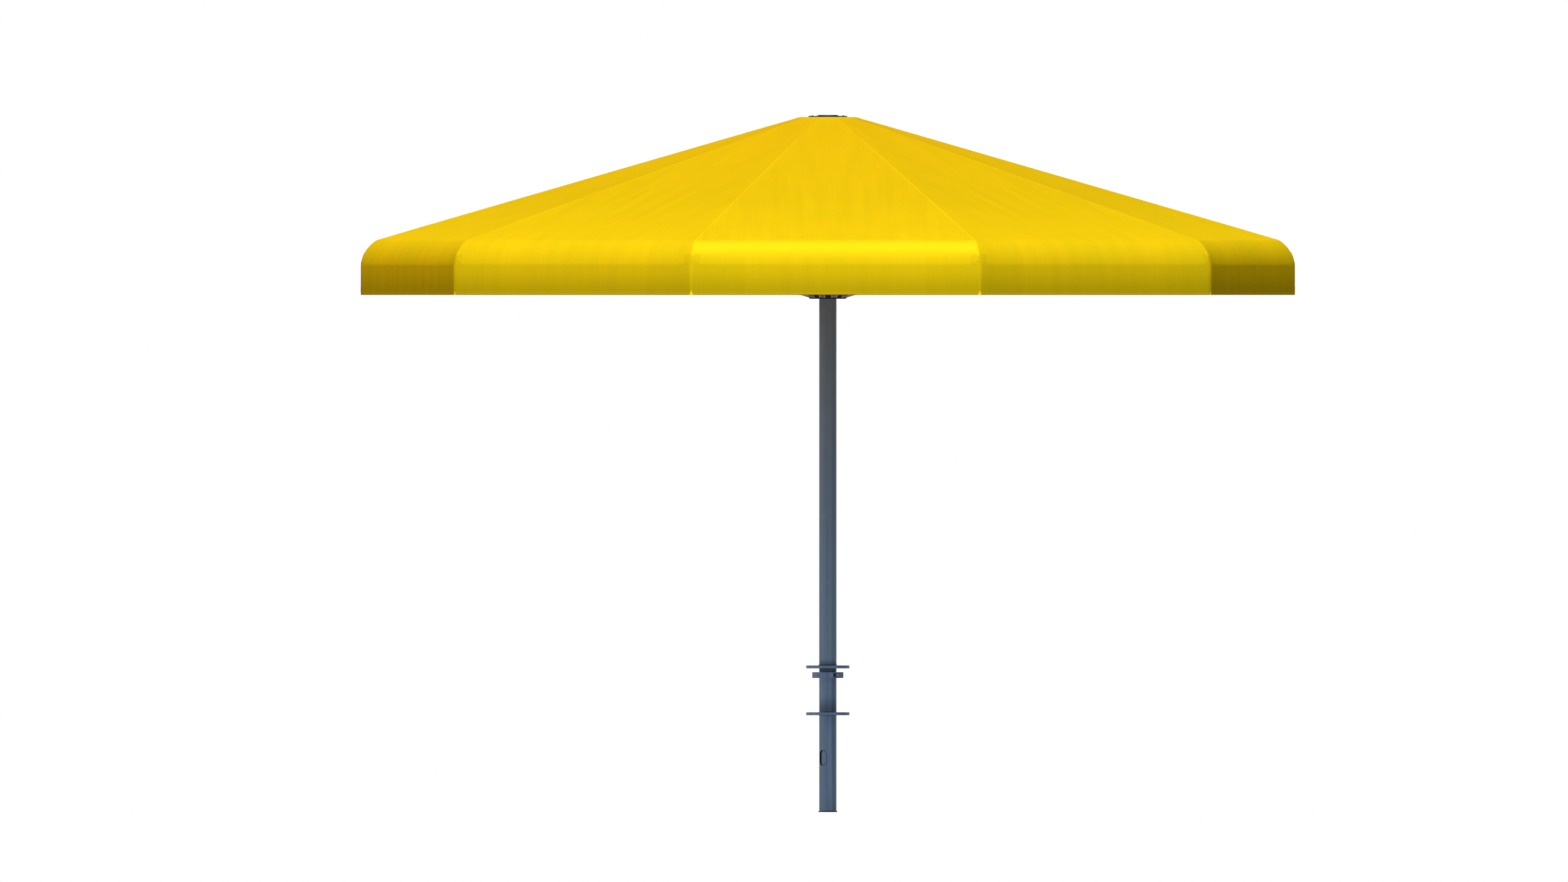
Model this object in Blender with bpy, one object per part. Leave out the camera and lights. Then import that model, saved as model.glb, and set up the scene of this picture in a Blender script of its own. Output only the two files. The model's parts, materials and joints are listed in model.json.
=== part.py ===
"""Giant centre-mast parasol, ten ribs, with its in-ground sleeve.

Metres, +Z up. The origin is the middle of the underside of the sleeve's base plate.
The parasol stands open. The slider runs down the mast to fold it: the ribs turn about the crown pins and
the struts about the pins of the brackets under the ribs.
A rib's own frame has +X out along the rib's bearing, +Y across the rib and +Z up.
"""
import math

import bmesh
import bpy
from mathutils import Matrix, Vector

# ---------------------------------------------------------------- driving dimensions
RIBS = 10
FIRST_BEARING = math.radians(18)        # bearing of rib 1, from -Y towards +X
BEARING_STEP = math.radians(360 / RIBS)
HALF_PANEL = BEARING_STEP / 2
GAP = 0.0003                            # clearance kept between touching pieces

# canopy, measured along a rib
CANOPY_CORNER_R = 2.7525
CANOPY_TOP_R = 0.161
CANOPY_TOP_Z = 4.0925
ROOF_SLOPE = 0.2904
SHOULDER_R = 0.201
SHOULDER_LOW = math.radians(8.1)        # how far the shoulder's arc leans back at the seam
SHOULDER_HIGH = math.radians(59.4)      # and where it meets the roof
SHOULDER_STEPS = 4
HEM_Z = 3.045
FABRIC_SOLID = 0.003

# linkage, as distance from the mast's axis and height
PIVOT_R = 0.104
CROWN_PIVOT_Z = 4.065
SLIDER_PIVOT_Z = 3.041
BRACKET_PIVOT = (1.426, 3.616)

# ribs, struts and brackets
RIB_WIDTH = 0.034
RIB_COVER = 0.007                       # from the canopy's crease down to the rib's top
RIB_DEPTH = 0.070
RIB_WALL = 0.003
RIB_CHAMFER = 0.007
RIB_START = 0.026                       # where the box section begins, from the crown pivot
RIB_PLUG = 0.030                        # solid stretch at that end
RIB_END_Z = 3.212
TONGUE = 0.016                          # thickness of the flat tongues that hinge in slots
TONGUE_EYE_R = 0.013
TONGUE_SIDE_GAP = 0.0005
PIN_R = 0.006
PIN_BORE_R = 0.0065
CROWN_PIN_PROUD = 0.008                 # how far the pins stand out of a tongue
BRACKET_PIN_PROUD = 0.0055
STRUT_R = 0.0212
STRUT_WALL = 0.0026
STRUT_UPPER_CUT = 0.050                 # from each pivot to the square-cut end of the tube
STRUT_LOWER_CUT = 0.056
STRUT_PLUG = 0.030                      # how deep a tongue goes into the tube
STRUT_EYE_R = 0.013
STRUT_EYE_WIDTH = 0.040
STRUT_STEPS = 14
EYE_STEPS = 4                           # facets round half an eye
PIN_STEPS = 8
BRACKET_CHEEK = 0.005
BRACKET_CHEEK_GAP = 0.0008
BRACKET_CHEEK_REACH = 0.030             # half the cheek's length where it meets the foot
BRACKET_EYE_R = 0.0145
BRACKET_EYE_STEPS = 12
BRACKET_BASE = 0.005
BRACKET_LENGTH = 0.096
BRACKET_INSET = 0.001                   # narrower than the rib on each side

# mast, crown and slider
MAST_R = 0.0508
MAST_WALL = 0.004
MAST_BOTTOM_Z = 0.8245
MAST_TOP_Z = 4.090
KEYWAY = 0.016
KEYWAY_Z = (1.190, 3.150)
CROWN_R = 0.115
CROWN_Z = (4.046, 4.0983)
CROWN_SLEEVE_R = 0.062
CROWN_SLEEVE_Z = 3.984
CROWN_SLOT_R = 0.082
CAP_R = 0.0565
CAP_Z = (4.0986, 4.105)
CAP_PLUG_DEPTH = 0.012                  # below the mast's top
CAP_CHAMFER = 0.002
SLIDER_CORE_R = 0.080
SLIDER_LUG_R = 0.121
SLIDER_SLOT = 0.0436
SLIDER_Z = (3.022, 3.061)
SLIDER_CHAMFER = 0.006
SLIDER_FOOT_CHAMFER = 0.014             # slopes the lugs in towards the hub's underside
SLIDER_SLEEVE_R = 0.066
SLIDER_SLEEVE_Z = 3.128
BUSH_R = (0.0514, 0.0556)
BUSH_INSET = (0.004, 0.001)             # below and above, inside the hub

# ground anchor
BASE_PLATE_R = 0.05625
BASE_PLATE_Z = (0.0, 0.006)
BASE_PLATE_CHAMFER = 0.001
SLEEVE_WALL = 0.005
SLEEVE_TOP_Z = 0.8240
ANCHOR_R = 0.12775
ANCHOR_Z = (0.571, 0.588)
CLAMP_R = 0.092
CLAMP_Z = (0.790, 0.8240)
CLAMP_SPLIT = 0.006
CLAMP_TURN = math.radians(-20)
CLAMP_FLAT_Y = 0.026                    # the milled seats of the bolt's head and nut
CLAMP_FLAT_BACK = 0.014
CLAMP_FLAT_HALF_HEIGHT = 0.0125
BOLT_R = 0.006
BOLT_HOLE_R = 0.0066
BOLT_HALF_LENGTH = 0.0375
BOLT_HEAD_R = 0.010
BOLT_HEAD_HEIGHT = 0.009
BOLT_STEPS = 12
COVER_R = 0.12775
COVER_Z = (0.8467, 0.8639)
SPIGOT_R = 0.04445
SPIGOT_WALL = 0.005
SPIGOT_Z = (0.0075, 1.060)
CABLE_SLOT_Z = (0.2745, 0.3655)
CABLE_SLOT_WIDTH = 0.050
CABLE_SLOT_BEARING = math.radians(-38.5)
CABLE_SLOT_STEPS = 8

# drive inside the mast
SEAT_GAP = 0.0006                       # play between the mast's bore and what sits in it
BORE_STEPS = 36
MOTOR_R = 0.035
MOTOR_CHAMFER = 0.003
MOTOR_Z = (0.880, 1.104)
SPINDLE_R = 0.011
SPINDLE_Z = (1.1075, 3.3175)
SPINDLE_CHAMFER = 0.0015
SPINDLE_STEPS = 20
COUPLING_R = 0.020
COUPLING_CHAMFER = 0.001
COUPLING_Z = (1.1045, 1.136)
LOWER_BEARING_Z = (1.1365, 1.156)
UPPER_BEARING_Z = (3.300, 3.320)
MOUNT_Z = (1.0605, 1.080)
NUT_R = 0.030
NUT_Z = (3.024, 3.076)
NUT_STEPS = 32
KEY_WIDTH = 0.014
KEY_ROOT = 0.020                        # where the key starts inside the nut
KEY_INSET = 0.004                       # from the nut's ends
KEY_TIP_GAP = 0.0008

# facets and tolerances shared by all pieces
ROUND_STEPS = 40
PLATE_STEPS = 48
OVERRUN = 0.01                          # how far a cutter goes past what it cuts
SMOOTH_ANGLE = math.radians(35)

ALUMINIUM = ("rib_aluminium", (0.33, 0.40, 0.48, 1), 0.45, 0.7)
STRUT_METAL = ("strut_aluminium", (0.42, 0.50, 0.60, 1), 0.40, 0.7)
MAST_METAL = ("mast_anodised", (0.095, 0.105, 0.115, 1), 0.50, 0.6)
SLEEVE_METAL = ("sleeve_steel", (0.09, 0.13, 0.20, 1), 0.50, 0.6)
DARK_CAST = ("hub_cast", (0.045, 0.05, 0.06, 1), 0.55, 0.5)
FABRIC = ("canopy_fabric", (0.86, 0.58, 0.01, 1), 0.85, 0.0)
PLASTIC = ("bush_polymer", (0.02, 0.02, 0.022, 1), 0.50, 0.0)
STEEL = ("drive_steel", (0.50, 0.50, 0.52, 1), 0.30, 1.0)


# ---------------------------------------------------------------- general tools
def clear_scene():
    for old in list(bpy.data.objects):
        bpy.data.objects.remove(old, do_unlink=True)


def material(spec):
    name, colour, roughness, metallic = spec
    mat = bpy.data.materials.get(name)
    if mat is None:
        mat = bpy.data.materials.new(name)
        mat.use_nodes = True
        shader = mat.node_tree.nodes["Principled BSDF"]
        shader.inputs["Base Color"].default_value = colour
        shader.inputs["Roughness"].default_value = roughness
        shader.inputs["Metallic"].default_value = metallic
    return mat


def finish_mesh(bm, name):
    """The bmesh as mesh data, faces outward, round faces smooth and edges sharp."""
    bmesh.ops.recalc_face_normals(bm, faces=bm.faces)
    if bm.calc_volume(signed=True) < 0:
        bmesh.ops.reverse_faces(bm, faces=bm.faces)
    mesh = bpy.data.meshes.new(name)
    bm.to_mesh(mesh)
    bm.free()
    mesh.shade_smooth()
    mesh.set_sharp_from_angle(angle=SMOOTH_ANGLE)
    return mesh


def skin(name, loops, ring=False):
    """A closed surface through loops of points, with its last loop joined to its first, or both capped."""
    bm = bmesh.new()
    rows = [[bm.verts.new(p) for p in loop] for loop in loops]
    pairs = list(zip(rows, rows[1:]))
    if ring:
        pairs.append((rows[-1], rows[0]))
    for one, other in pairs:
        for i in range(len(one)):
            j = (i + 1) % len(one)
            bm.faces.new((one[i], one[j], other[j], other[i]))
    if not ring:
        bm.faces.new(rows[0])
        bm.faces.new(rows[-1])
    return finish_mesh(bm, name)


def circle(radius, z, steps, centre=(0.0, 0.0)):
    turn = 2 * math.pi / steps
    return [
        (centre[0] + radius * math.cos(i * turn), centre[1] + radius * math.sin(i * turn), z)
        for i in range(steps)
    ]


def turned(name, profile, steps, ring=False):
    """A body turned about Z from (radius, height) points."""
    return skin(name, [circle(r, z, steps) for r, z in profile], ring)


def tube(name, outer, inner, z, steps, chamfer=0.0):
    """A round tube or a plate with a round hole, its outer edges chamfered."""
    low, high = z
    profile = [(inner, low), (outer - chamfer, low), (outer, low + chamfer)]
    profile += [(outer, high - chamfer), (outer - chamfer, high), (inner, high)]
    if not chamfer:
        profile = [(inner, low), (outer, low), (outer, high), (inner, high)]
    return turned(name, profile, steps, ring=True)


def disc(name, radius, z, steps, chamfer):
    low, high = z
    profile = [(radius - chamfer, low), (radius, low + chamfer)]
    profile += [(radius, high - chamfer), (radius - chamfer, high)]
    return turned(name, profile, steps)


def block(name, low, high):
    (x0, y0, z0), (x1, y1, z1) = low, high
    loops = [[(x0, y0, z), (x1, y0, z), (x1, y1, z), (x0, y1, z)] for z in (z0, z1)]
    return skin(name, loops)


def extruded(name, outline, half_width):
    """An outline of (x, z) points, as thick as twice half_width along Y."""
    return skin(name, [[(x, y, z) for x, z in outline] for y in (-half_width, half_width)])


def cross_pin(name, radius, half_width, centre=(0.0, 0.0), steps=16):
    """A round bar along Y."""
    return extruded(name, round_outline(radius, centre, steps), half_width)


def round_outline(radius, centre, steps):
    return [(x, z) for x, z, _ in circle(radius, 0.0, steps, centre)]


def moved(mesh, matrix):
    mesh.transform(matrix)
    return mesh


def combined(base, tools, operation):
    """base with the tools joined to it or cut from it by exact Booleans, as new mesh data."""
    body = bpy.data.objects.new("boolean_body", base)
    bpy.context.scene.collection.objects.link(body)
    for tool_mesh in tools:
        tool = bpy.data.objects.new("boolean_tool", tool_mesh)
        bpy.context.scene.collection.objects.link(tool)
        modifier = body.modifiers.new("boolean", "BOOLEAN")
        modifier.operation = operation
        modifier.solver = "EXACT"
        modifier.object = tool
        graph = bpy.context.evaluated_depsgraph_get()
        result = bpy.data.meshes.new_from_object(body.evaluated_get(graph), depsgraph=graph)
        body.modifiers.clear()
        body.data = result
        bpy.data.objects.remove(tool, do_unlink=True)
    result = body.data
    result.name = base.name
    bpy.data.objects.remove(body, do_unlink=True)
    result.shade_smooth()
    result.set_sharp_from_angle(angle=SMOOTH_ANGLE)
    return result


def place(name, mesh, spec, parent=None):
    obj = bpy.data.objects.new(name, mesh)
    bpy.context.scene.collection.objects.link(obj)
    if not mesh.materials:
        mesh.materials.append(material(spec))
    obj.parent = parent
    return obj


def axis_empty(name, location, turn=0.0, parent=None):
    """An empty on a joint's axis, for the pieces that turn about it."""
    empty = bpy.data.objects.new(name, None)
    empty.empty_display_size = 0.05
    bpy.context.scene.collection.objects.link(empty)
    empty.parent = parent
    empty.location = location
    empty.rotation_euler = (0.0, 0.0, turn)
    return empty


def around_z(angle):
    return Matrix.Rotation(angle, 4, "Z")


def bearing_turn(bearing):
    """The turn about Z that takes +X to a bearing measured from -Y towards +X."""
    return bearing - math.pi / 2


# ---------------------------------------------------------------- canopy outline
def roof_z(r):
    """Height of the canopy's crease over a rib's straight stretch."""
    return CANOPY_TOP_Z - ROOF_SLOPE * (r - CANOPY_TOP_R)


PITCH = math.atan(ROOF_SLOPE)
ROOF_NORMAL = math.pi / 2 - PITCH
SHOULDER_CENTRE_R = CANOPY_CORNER_R - SHOULDER_R * math.cos(SHOULDER_LOW)
SHOULDER_TOP_R = SHOULDER_CENTRE_R + SHOULDER_R * math.cos(SHOULDER_HIGH)
SHOULDER_CENTRE_Z = roof_z(SHOULDER_TOP_R) - SHOULDER_R * math.sin(SHOULDER_HIGH)


def on_shoulder(angle, before, after, cover):
    """The arc's point at an angle, offset inwards by cover along the mitre between two normals."""
    mitre = (before + after) / 2
    reach = cover / math.cos((before - after) / 2)
    r = SHOULDER_CENTRE_R + SHOULDER_R * math.cos(angle) - reach * math.cos(mitre)
    z = SHOULDER_CENTRE_Z + SHOULDER_R * math.sin(angle) - reach * math.sin(mitre)
    return r, z


def crease(cover, end_z):
    """The canopy's outline over a rib, as (radius, height), offset inwards by cover."""
    points = [(
        CANOPY_TOP_R - cover * math.cos(ROOF_NORMAL),
        CANOPY_TOP_Z - cover * math.sin(ROOF_NORMAL),
    )]
    points.append(on_shoulder(SHOULDER_HIGH, ROOF_NORMAL, SHOULDER_HIGH, cover))
    for i in range(1, SHOULDER_STEPS):
        angle = SHOULDER_HIGH + (SHOULDER_LOW - SHOULDER_HIGH) * i / SHOULDER_STEPS
        points.append(on_shoulder(angle, angle, angle, cover))
    points.append(on_shoulder(SHOULDER_LOW, SHOULDER_LOW, 0.0, cover))
    points.append((CANOPY_CORNER_R - cover, end_z))
    return points


def gore_mesh():
    """One tenth of the canopy: the fabric from mid-panel to mid-panel over one rib, in the rib's frame."""
    outer = crease(0.0, HEM_Z)
    inner = crease(FABRIC_SOLID / math.cos(HALF_PANEL), HEM_Z)
    side = GAP * 0.7
    loops = []
    for y_sign in (-1, 0, 1):
        loop = []
        for r, z in outer + inner[::-1]:
            middle = r * math.cos(HALF_PANEL)
            across = middle * math.sin(HALF_PANEL) - side
            out = r if not y_sign else r - across * math.tan(HALF_PANEL)
            loop.append((out, y_sign * across, z))
        loops.append(loop)
    return skin("canopy_gore", loops)


# ---------------------------------------------------------------- ribs and struts
def local(point):
    """(radius, height) as (x, z) from the crown pivot."""
    return point[0] - PIVOT_R, point[1] - CROWN_PIVOT_Z


def rib_section(top, bottom, half, chamfer):
    """Six points of a box section between two (x, z) points, with its top edges chamfered."""
    (tx, tz), (bx, bz) = top, bottom
    share = chamfer / math.hypot(tx - bx, tz - bz)
    cx, cz = tx + (bx - tx) * share, tz + (bz - tz) * share
    half_top = half - chamfer
    return [
        (tx, -half_top, tz), (tx, half_top, tz), (cx, half, cz),
        (bx, half, bz), (bx, -half, bz), (cx, -half, cz),
    ]


def rib_mesh():
    """A bent box section, open at its outer end, with a tongue and a cross pin at the crown."""
    along = Vector((math.cos(PITCH), -math.sin(PITCH)))
    upward = Vector((math.sin(PITCH), math.cos(PITCH)))
    crease_height = (Vector(local((CANOPY_TOP_R, CANOPY_TOP_Z)))).dot(upward)

    def rows(cover, depth, start, half, chamfer):
        top = crease(cover, RIB_END_Z)[1:]
        bottom = crease(cover + depth, RIB_END_Z)[1:]
        first_top = along * start + upward * (crease_height - cover)
        first_bottom = first_top - upward * depth
        pairs = [(first_top, first_bottom)]
        pairs += [(local(a), local(b)) for a, b in zip(top, bottom)]
        return [rib_section(a, b, half, chamfer) for a, b in pairs]

    outer = rows(RIB_COVER, RIB_DEPTH, RIB_START, RIB_WIDTH / 2, RIB_CHAMFER)
    inner = rows(
        RIB_COVER + RIB_WALL, RIB_DEPTH - 2 * RIB_WALL, RIB_START + RIB_PLUG,
        RIB_WIDTH / 2 - RIB_WALL, RIB_CHAMFER * 0.8,
    )
    body = skin("rib", outer + inner[::-1])
    tongue_end = along * (RIB_START + RIB_PLUG / 2)
    eye = [
        upward.to_2d() * TONGUE_EYE_R * math.cos(a) - along.to_2d() * TONGUE_EYE_R * math.sin(a)
        for a in (math.pi * i / EYE_STEPS for i in range(EYE_STEPS + 1))
    ]
    outline = [tuple(p) for p in eye]
    outline.append(tuple(tongue_end - upward * TONGUE_EYE_R))
    outline.append(tuple(tongue_end + upward * TONGUE_EYE_R))
    tongue = extruded("tongue", outline, TONGUE / 2)
    pin = cross_pin("pin", PIN_R, TONGUE / 2 + CROWN_PIN_PROUD, steps=PIN_STEPS)
    return combined(body, [tongue, pin], "UNION")


def bracket_mesh():
    """The bracket under a rib, from its own pivot: a foot plate and two cheeks with the pin's bores."""
    pivot = Vector(local(BRACKET_PIVOT))
    upward = Vector((math.sin(PITCH), math.cos(PITCH)))
    crease_height = (Vector(local((CANOPY_TOP_R, CANOPY_TOP_Z)))).dot(upward)
    foot_top = crease_height - RIB_COVER - RIB_DEPTH - GAP - pivot.dot(upward)
    foot_low = foot_top - BRACKET_BASE
    half = RIB_WIDTH / 2 - BRACKET_INSET
    reach = BRACKET_LENGTH / 2
    foot = block("strut_bracket", (-reach, -half, foot_low), (reach, half, foot_top))
    inside = TONGUE / 2 + BRACKET_CHEEK_GAP
    cheek_top = foot_low + BRACKET_BASE / 2
    tools = []
    for y_sign in (-1, 1):
        eye = round_outline(BRACKET_EYE_R, (0.0, 0.0), BRACKET_EYE_STEPS)
        outline = sorted(point for point in eye if point[1] <= 1e-6)
        outline += [(BRACKET_CHEEK_REACH, cheek_top), (-BRACKET_CHEEK_REACH, cheek_top)]
        cheek = extruded("cheek", outline, BRACKET_CHEEK / 2)
        offset = y_sign * (inside + BRACKET_CHEEK / 2)
        tools.append(moved(cheek, Matrix.Translation((0.0, offset, 0.0))))
    joined = combined(foot, tools, "UNION")
    bore = cross_pin("bore", PIN_BORE_R, RIB_WIDTH, steps=PIN_STEPS)
    drilled = combined(joined, [bore], "DIFFERENCE")
    return moved(drilled, Matrix.Rotation(PITCH, 4, "Y"))


def strut_mesh():
    """A round tube along +X from its upper pivot, with a tongue at each end and a wide eye at the slider."""
    length = math.hypot(BRACKET_PIVOT[0] - PIVOT_R, BRACKET_PIVOT[1] - SLIDER_PIVOT_Z)
    to_x = Matrix.Rotation(math.pi / 2, 4, "Y")
    ends = (STRUT_UPPER_CUT, length - STRUT_LOWER_CUT)
    body = tube("strut", STRUT_R, STRUT_R - STRUT_WALL, ends, STRUT_STEPS)
    body.transform(to_x)
    web = STRUT_R - STRUT_WALL / 2
    mouths = ends[0] + GAP, ends[1] - GAP
    depths = ends[0] + STRUT_PLUG, ends[1] - STRUT_PLUG
    half_turn = [math.pi * i / EYE_STEPS for i in range(EYE_STEPS + 1)]
    upper = [(-TONGUE_EYE_R * math.sin(a), TONGUE_EYE_R * math.cos(a)) for a in half_turn]
    upper += [(mouths[0], -web), (depths[0], -web), (depths[0], web), (mouths[0], web)]
    lower = [(length + STRUT_EYE_R * math.sin(a), -STRUT_EYE_R * math.cos(a)) for a in half_turn]
    lower += [(mouths[1], web), (depths[1], web), (depths[1], -web), (mouths[1], -web)]
    parts = [
        extruded("upper_tongue", upper, TONGUE / 2),
        cross_pin("upper_pin", PIN_R, TONGUE / 2 + BRACKET_PIN_PROUD, steps=PIN_STEPS),
        extruded("lower_tongue", lower, TONGUE / 2),
        cross_pin("lower_eye", STRUT_EYE_R, STRUT_EYE_WIDTH / 2, (length, 0.0), 2 * EYE_STEPS),
    ]
    whole = combined(body, parts, "UNION")
    bore = cross_pin("lower_bore", PIN_R, STRUT_EYE_WIDTH, (length, 0.0), PIN_STEPS)
    whole = combined(whole, [bore], "DIFFERENCE")
    fall = math.atan2(BRACKET_PIVOT[1] - SLIDER_PIVOT_Z, BRACKET_PIVOT[0] - PIVOT_R)
    # the tube was laid along +X: it is swung to point inwards and down to the slider
    return moved(whole, Matrix.Rotation(math.pi - fall, 4, "Y"))


def build_canopy_frame():
    rib = rib_mesh()
    bracket = bracket_mesh()
    strut = strut_mesh()
    gore = gore_mesh()
    for k in range(RIBS):
        number = f"{k + 1:02d}"
        turn = bearing_turn(FIRST_BEARING + k * BEARING_STEP)
        pivot = around_z(turn) @ Vector((PIVOT_R, 0.0, CROWN_PIVOT_Z))
        hinge = axis_empty("rib_axis_" + number, pivot, turn)
        place("rib_" + number, rib, ALUMINIUM, hinge)
        place("canopy_gore_" + number, gore, FABRIC, hinge).location = (-PIVOT_R, 0.0, -CROWN_PIVOT_Z)
        x, z = local(BRACKET_PIVOT)
        strut_hinge = axis_empty("strut_axis_" + number, (x, 0.0, z), 0.0, hinge)
        place("strut_bracket_" + number, bracket, ALUMINIUM, strut_hinge)
        place("strut_" + number, strut, STRUT_METAL, strut_hinge)


# ---------------------------------------------------------------- crown and slider
def radial_tool(mesh, k):
    turn = bearing_turn(FIRST_BEARING + k * BEARING_STEP)
    return moved(mesh, around_z(turn))


def radial_slots(inner, outer, half, z, overrun=OVERRUN):
    """One cutter for each rib: a slot from inner to past outer, half as wide as half says on each side."""
    low, high = z
    slots = []
    for k in range(RIBS):
        slot = block("slot", (inner, -half, low - overrun), (outer + overrun, half, high + overrun))
        slots.append(radial_tool(slot, k))
    return slots


def build_crown():
    bore = MAST_R + GAP
    low, high = CROWN_Z
    profile = [
        (bore, CROWN_SLEEVE_Z), (CROWN_SLEEVE_R, CROWN_SLEEVE_Z), (CROWN_SLEEVE_R, low),
        (CROWN_R, low), (CROWN_R, high), (bore, high),
    ]
    hub = turned("crown_hub", profile, ROUND_STEPS, ring=True)
    cutters = radial_slots(CROWN_SLOT_R, CROWN_R, TONGUE / 2 + TONGUE_SIDE_GAP, CROWN_Z)
    half = TONGUE / 2 + CROWN_PIN_PROUD + 2 * TONGUE_SIDE_GAP
    for k in range(RIBS):
        pin_space = cross_pin("pin_space", PIN_BORE_R, half, (PIVOT_R, CROWN_PIVOT_Z), PIN_STEPS)
        cutters.append(radial_tool(pin_space, k))
    place("crown_hub", combined(hub, cutters, "DIFFERENCE"), DARK_CAST)


def build_cap():
    low, high = CAP_Z
    plug = MAST_R - MAST_WALL - GAP
    profile = [
        (plug, MAST_TOP_Z - CAP_PLUG_DEPTH), (plug, low), (CAP_R, low),
        (CAP_R, high - CAP_CHAMFER), (CAP_R - CAP_CHAMFER, high),
    ]
    place("mast_cap", turned("mast_cap", profile, ROUND_STEPS), MAST_METAL)


def build_slider():
    bore = BUSH_R[1] + GAP
    low, high = SLIDER_Z
    profile = [
        (bore, low), (SLIDER_LUG_R - SLIDER_FOOT_CHAMFER, low), (SLIDER_LUG_R, low + SLIDER_FOOT_CHAMFER),
        (SLIDER_LUG_R, high - SLIDER_CHAMFER), (SLIDER_LUG_R - SLIDER_CHAMFER, high),
        (SLIDER_SLEEVE_R, high), (SLIDER_SLEEVE_R, SLIDER_SLEEVE_Z), (bore, SLIDER_SLEEVE_Z),
    ]
    hub = turned("slider_hub", profile, ROUND_STEPS, ring=True)
    slots = radial_slots(SLIDER_CORE_R, SLIDER_LUG_R, SLIDER_SLOT / 2, SLIDER_Z)
    place("slider_hub", combined(hub, slots, "DIFFERENCE"), DARK_CAST)
    bush_z = (low + BUSH_INSET[0], SLIDER_SLEEVE_Z - BUSH_INSET[1])
    bush = tube("slider_bush", BUSH_R[1], BUSH_R[0], bush_z, BORE_STEPS)
    half = KEY_WIDTH / 2 + GAP
    notch = block("notch", (-half, 0.0, low), (half, BUSH_R[1] + OVERRUN, NUT_Z[1] + GAP))
    place("slider_bush", combined(bush, [notch], "DIFFERENCE"), PLASTIC)


# ---------------------------------------------------------------- mast and drive
def build_mast():
    body = tube("mast_tube", MAST_R, MAST_R - MAST_WALL, (MAST_BOTTOM_Z, MAST_TOP_Z), ROUND_STEPS)
    keyway = block("keyway", (-KEYWAY / 2, 0.0, KEYWAY_Z[0]), (KEYWAY / 2, MAST_R + OVERRUN, KEYWAY_Z[1]))
    place("mast_tube", combined(body, [keyway], "DIFFERENCE"), MAST_METAL)
    spigot = tube("mast_spigot", SPIGOT_R, SPIGOT_R - SPIGOT_WALL, SPIGOT_Z, ROUND_STEPS)
    place("mast_spigot", spigot, SLEEVE_METAL)


def build_drive():
    seat = MAST_R - MAST_WALL - SEAT_GAP
    shaft = SPINDLE_R + SEAT_GAP
    place("motor_mount", tube("motor_mount", seat, MOTOR_R + SEAT_GAP, MOUNT_Z, BORE_STEPS), STEEL)
    place("drive_motor", disc("drive_motor", MOTOR_R, MOTOR_Z, NUT_STEPS, MOTOR_CHAMFER), DARK_CAST)
    place("lower_bearing", tube("lower_bearing", seat, shaft, LOWER_BEARING_Z, BORE_STEPS), STEEL)
    place("upper_bearing", tube("upper_bearing", seat, shaft, UPPER_BEARING_Z, BORE_STEPS), STEEL)
    spindle_axis = axis_empty("spindle_axis", (0.0, 0.0, 0.0))
    spindle = disc("drive_spindle", SPINDLE_R, SPINDLE_Z, SPINDLE_STEPS, SPINDLE_CHAMFER)
    place("drive_spindle", spindle, STEEL, spindle_axis)
    coupling = tube(
        "motor_coupling", COUPLING_R, SPINDLE_R + GAP, COUPLING_Z, SPINDLE_STEPS, COUPLING_CHAMFER,
    )
    place("motor_coupling", coupling, STEEL, spindle_axis)
    nut = tube("drive_nut", NUT_R, shaft, NUT_Z, NUT_STEPS)
    key_low = (-KEY_WIDTH / 2, KEY_ROOT, NUT_Z[0] + KEY_INSET)
    key_high = (KEY_WIDTH / 2, BUSH_R[1] - KEY_TIP_GAP, NUT_Z[1] - KEY_INSET)
    place("drive_nut", combined(nut, [block("key", key_low, key_high)], "UNION"), STEEL)


# ---------------------------------------------------------------- ground anchor
def obround(width, low, high, reach):
    """A prism along +X, from the axis outwards, with an upright obround section."""
    half = width / 2
    points = []
    for middle, start in ((high - half, 0.0), (low + half, math.pi)):
        for i in range(CABLE_SLOT_STEPS + 1):
            angle = start + math.pi * i / CABLE_SLOT_STEPS
            points.append((half * math.cos(angle), middle + half * math.sin(angle)))
    return skin("cable_slot", [[(x, y, z) for y, z in points] for x in (0.0, reach)])


def build_sleeve():
    plate = disc("sleeve_base_plate", BASE_PLATE_R, BASE_PLATE_Z, ROUND_STEPS, BASE_PLATE_CHAMFER)
    place("sleeve_base_plate", plate, SLEEVE_METAL)
    sleeve_z = (BASE_PLATE_Z[1] + GAP, SLEEVE_TOP_Z)
    sleeve = tube("ground_sleeve", MAST_R, MAST_R - SLEEVE_WALL, sleeve_z, ROUND_STEPS)
    slot = obround(CABLE_SLOT_WIDTH, *CABLE_SLOT_Z, MAST_R + OVERRUN)
    slot.transform(around_z(bearing_turn(CABLE_SLOT_BEARING)))
    place("ground_sleeve", combined(sleeve, [slot], "DIFFERENCE"), SLEEVE_METAL)
    hole = MAST_R + GAP
    place("anchor_plate", tube("anchor_plate", ANCHOR_R, hole, ANCHOR_Z, PLATE_STEPS), SLEEVE_METAL)
    place("cover_plate", tube("cover_plate", COVER_R, hole, COVER_Z, PLATE_STEPS), SLEEVE_METAL)


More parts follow.
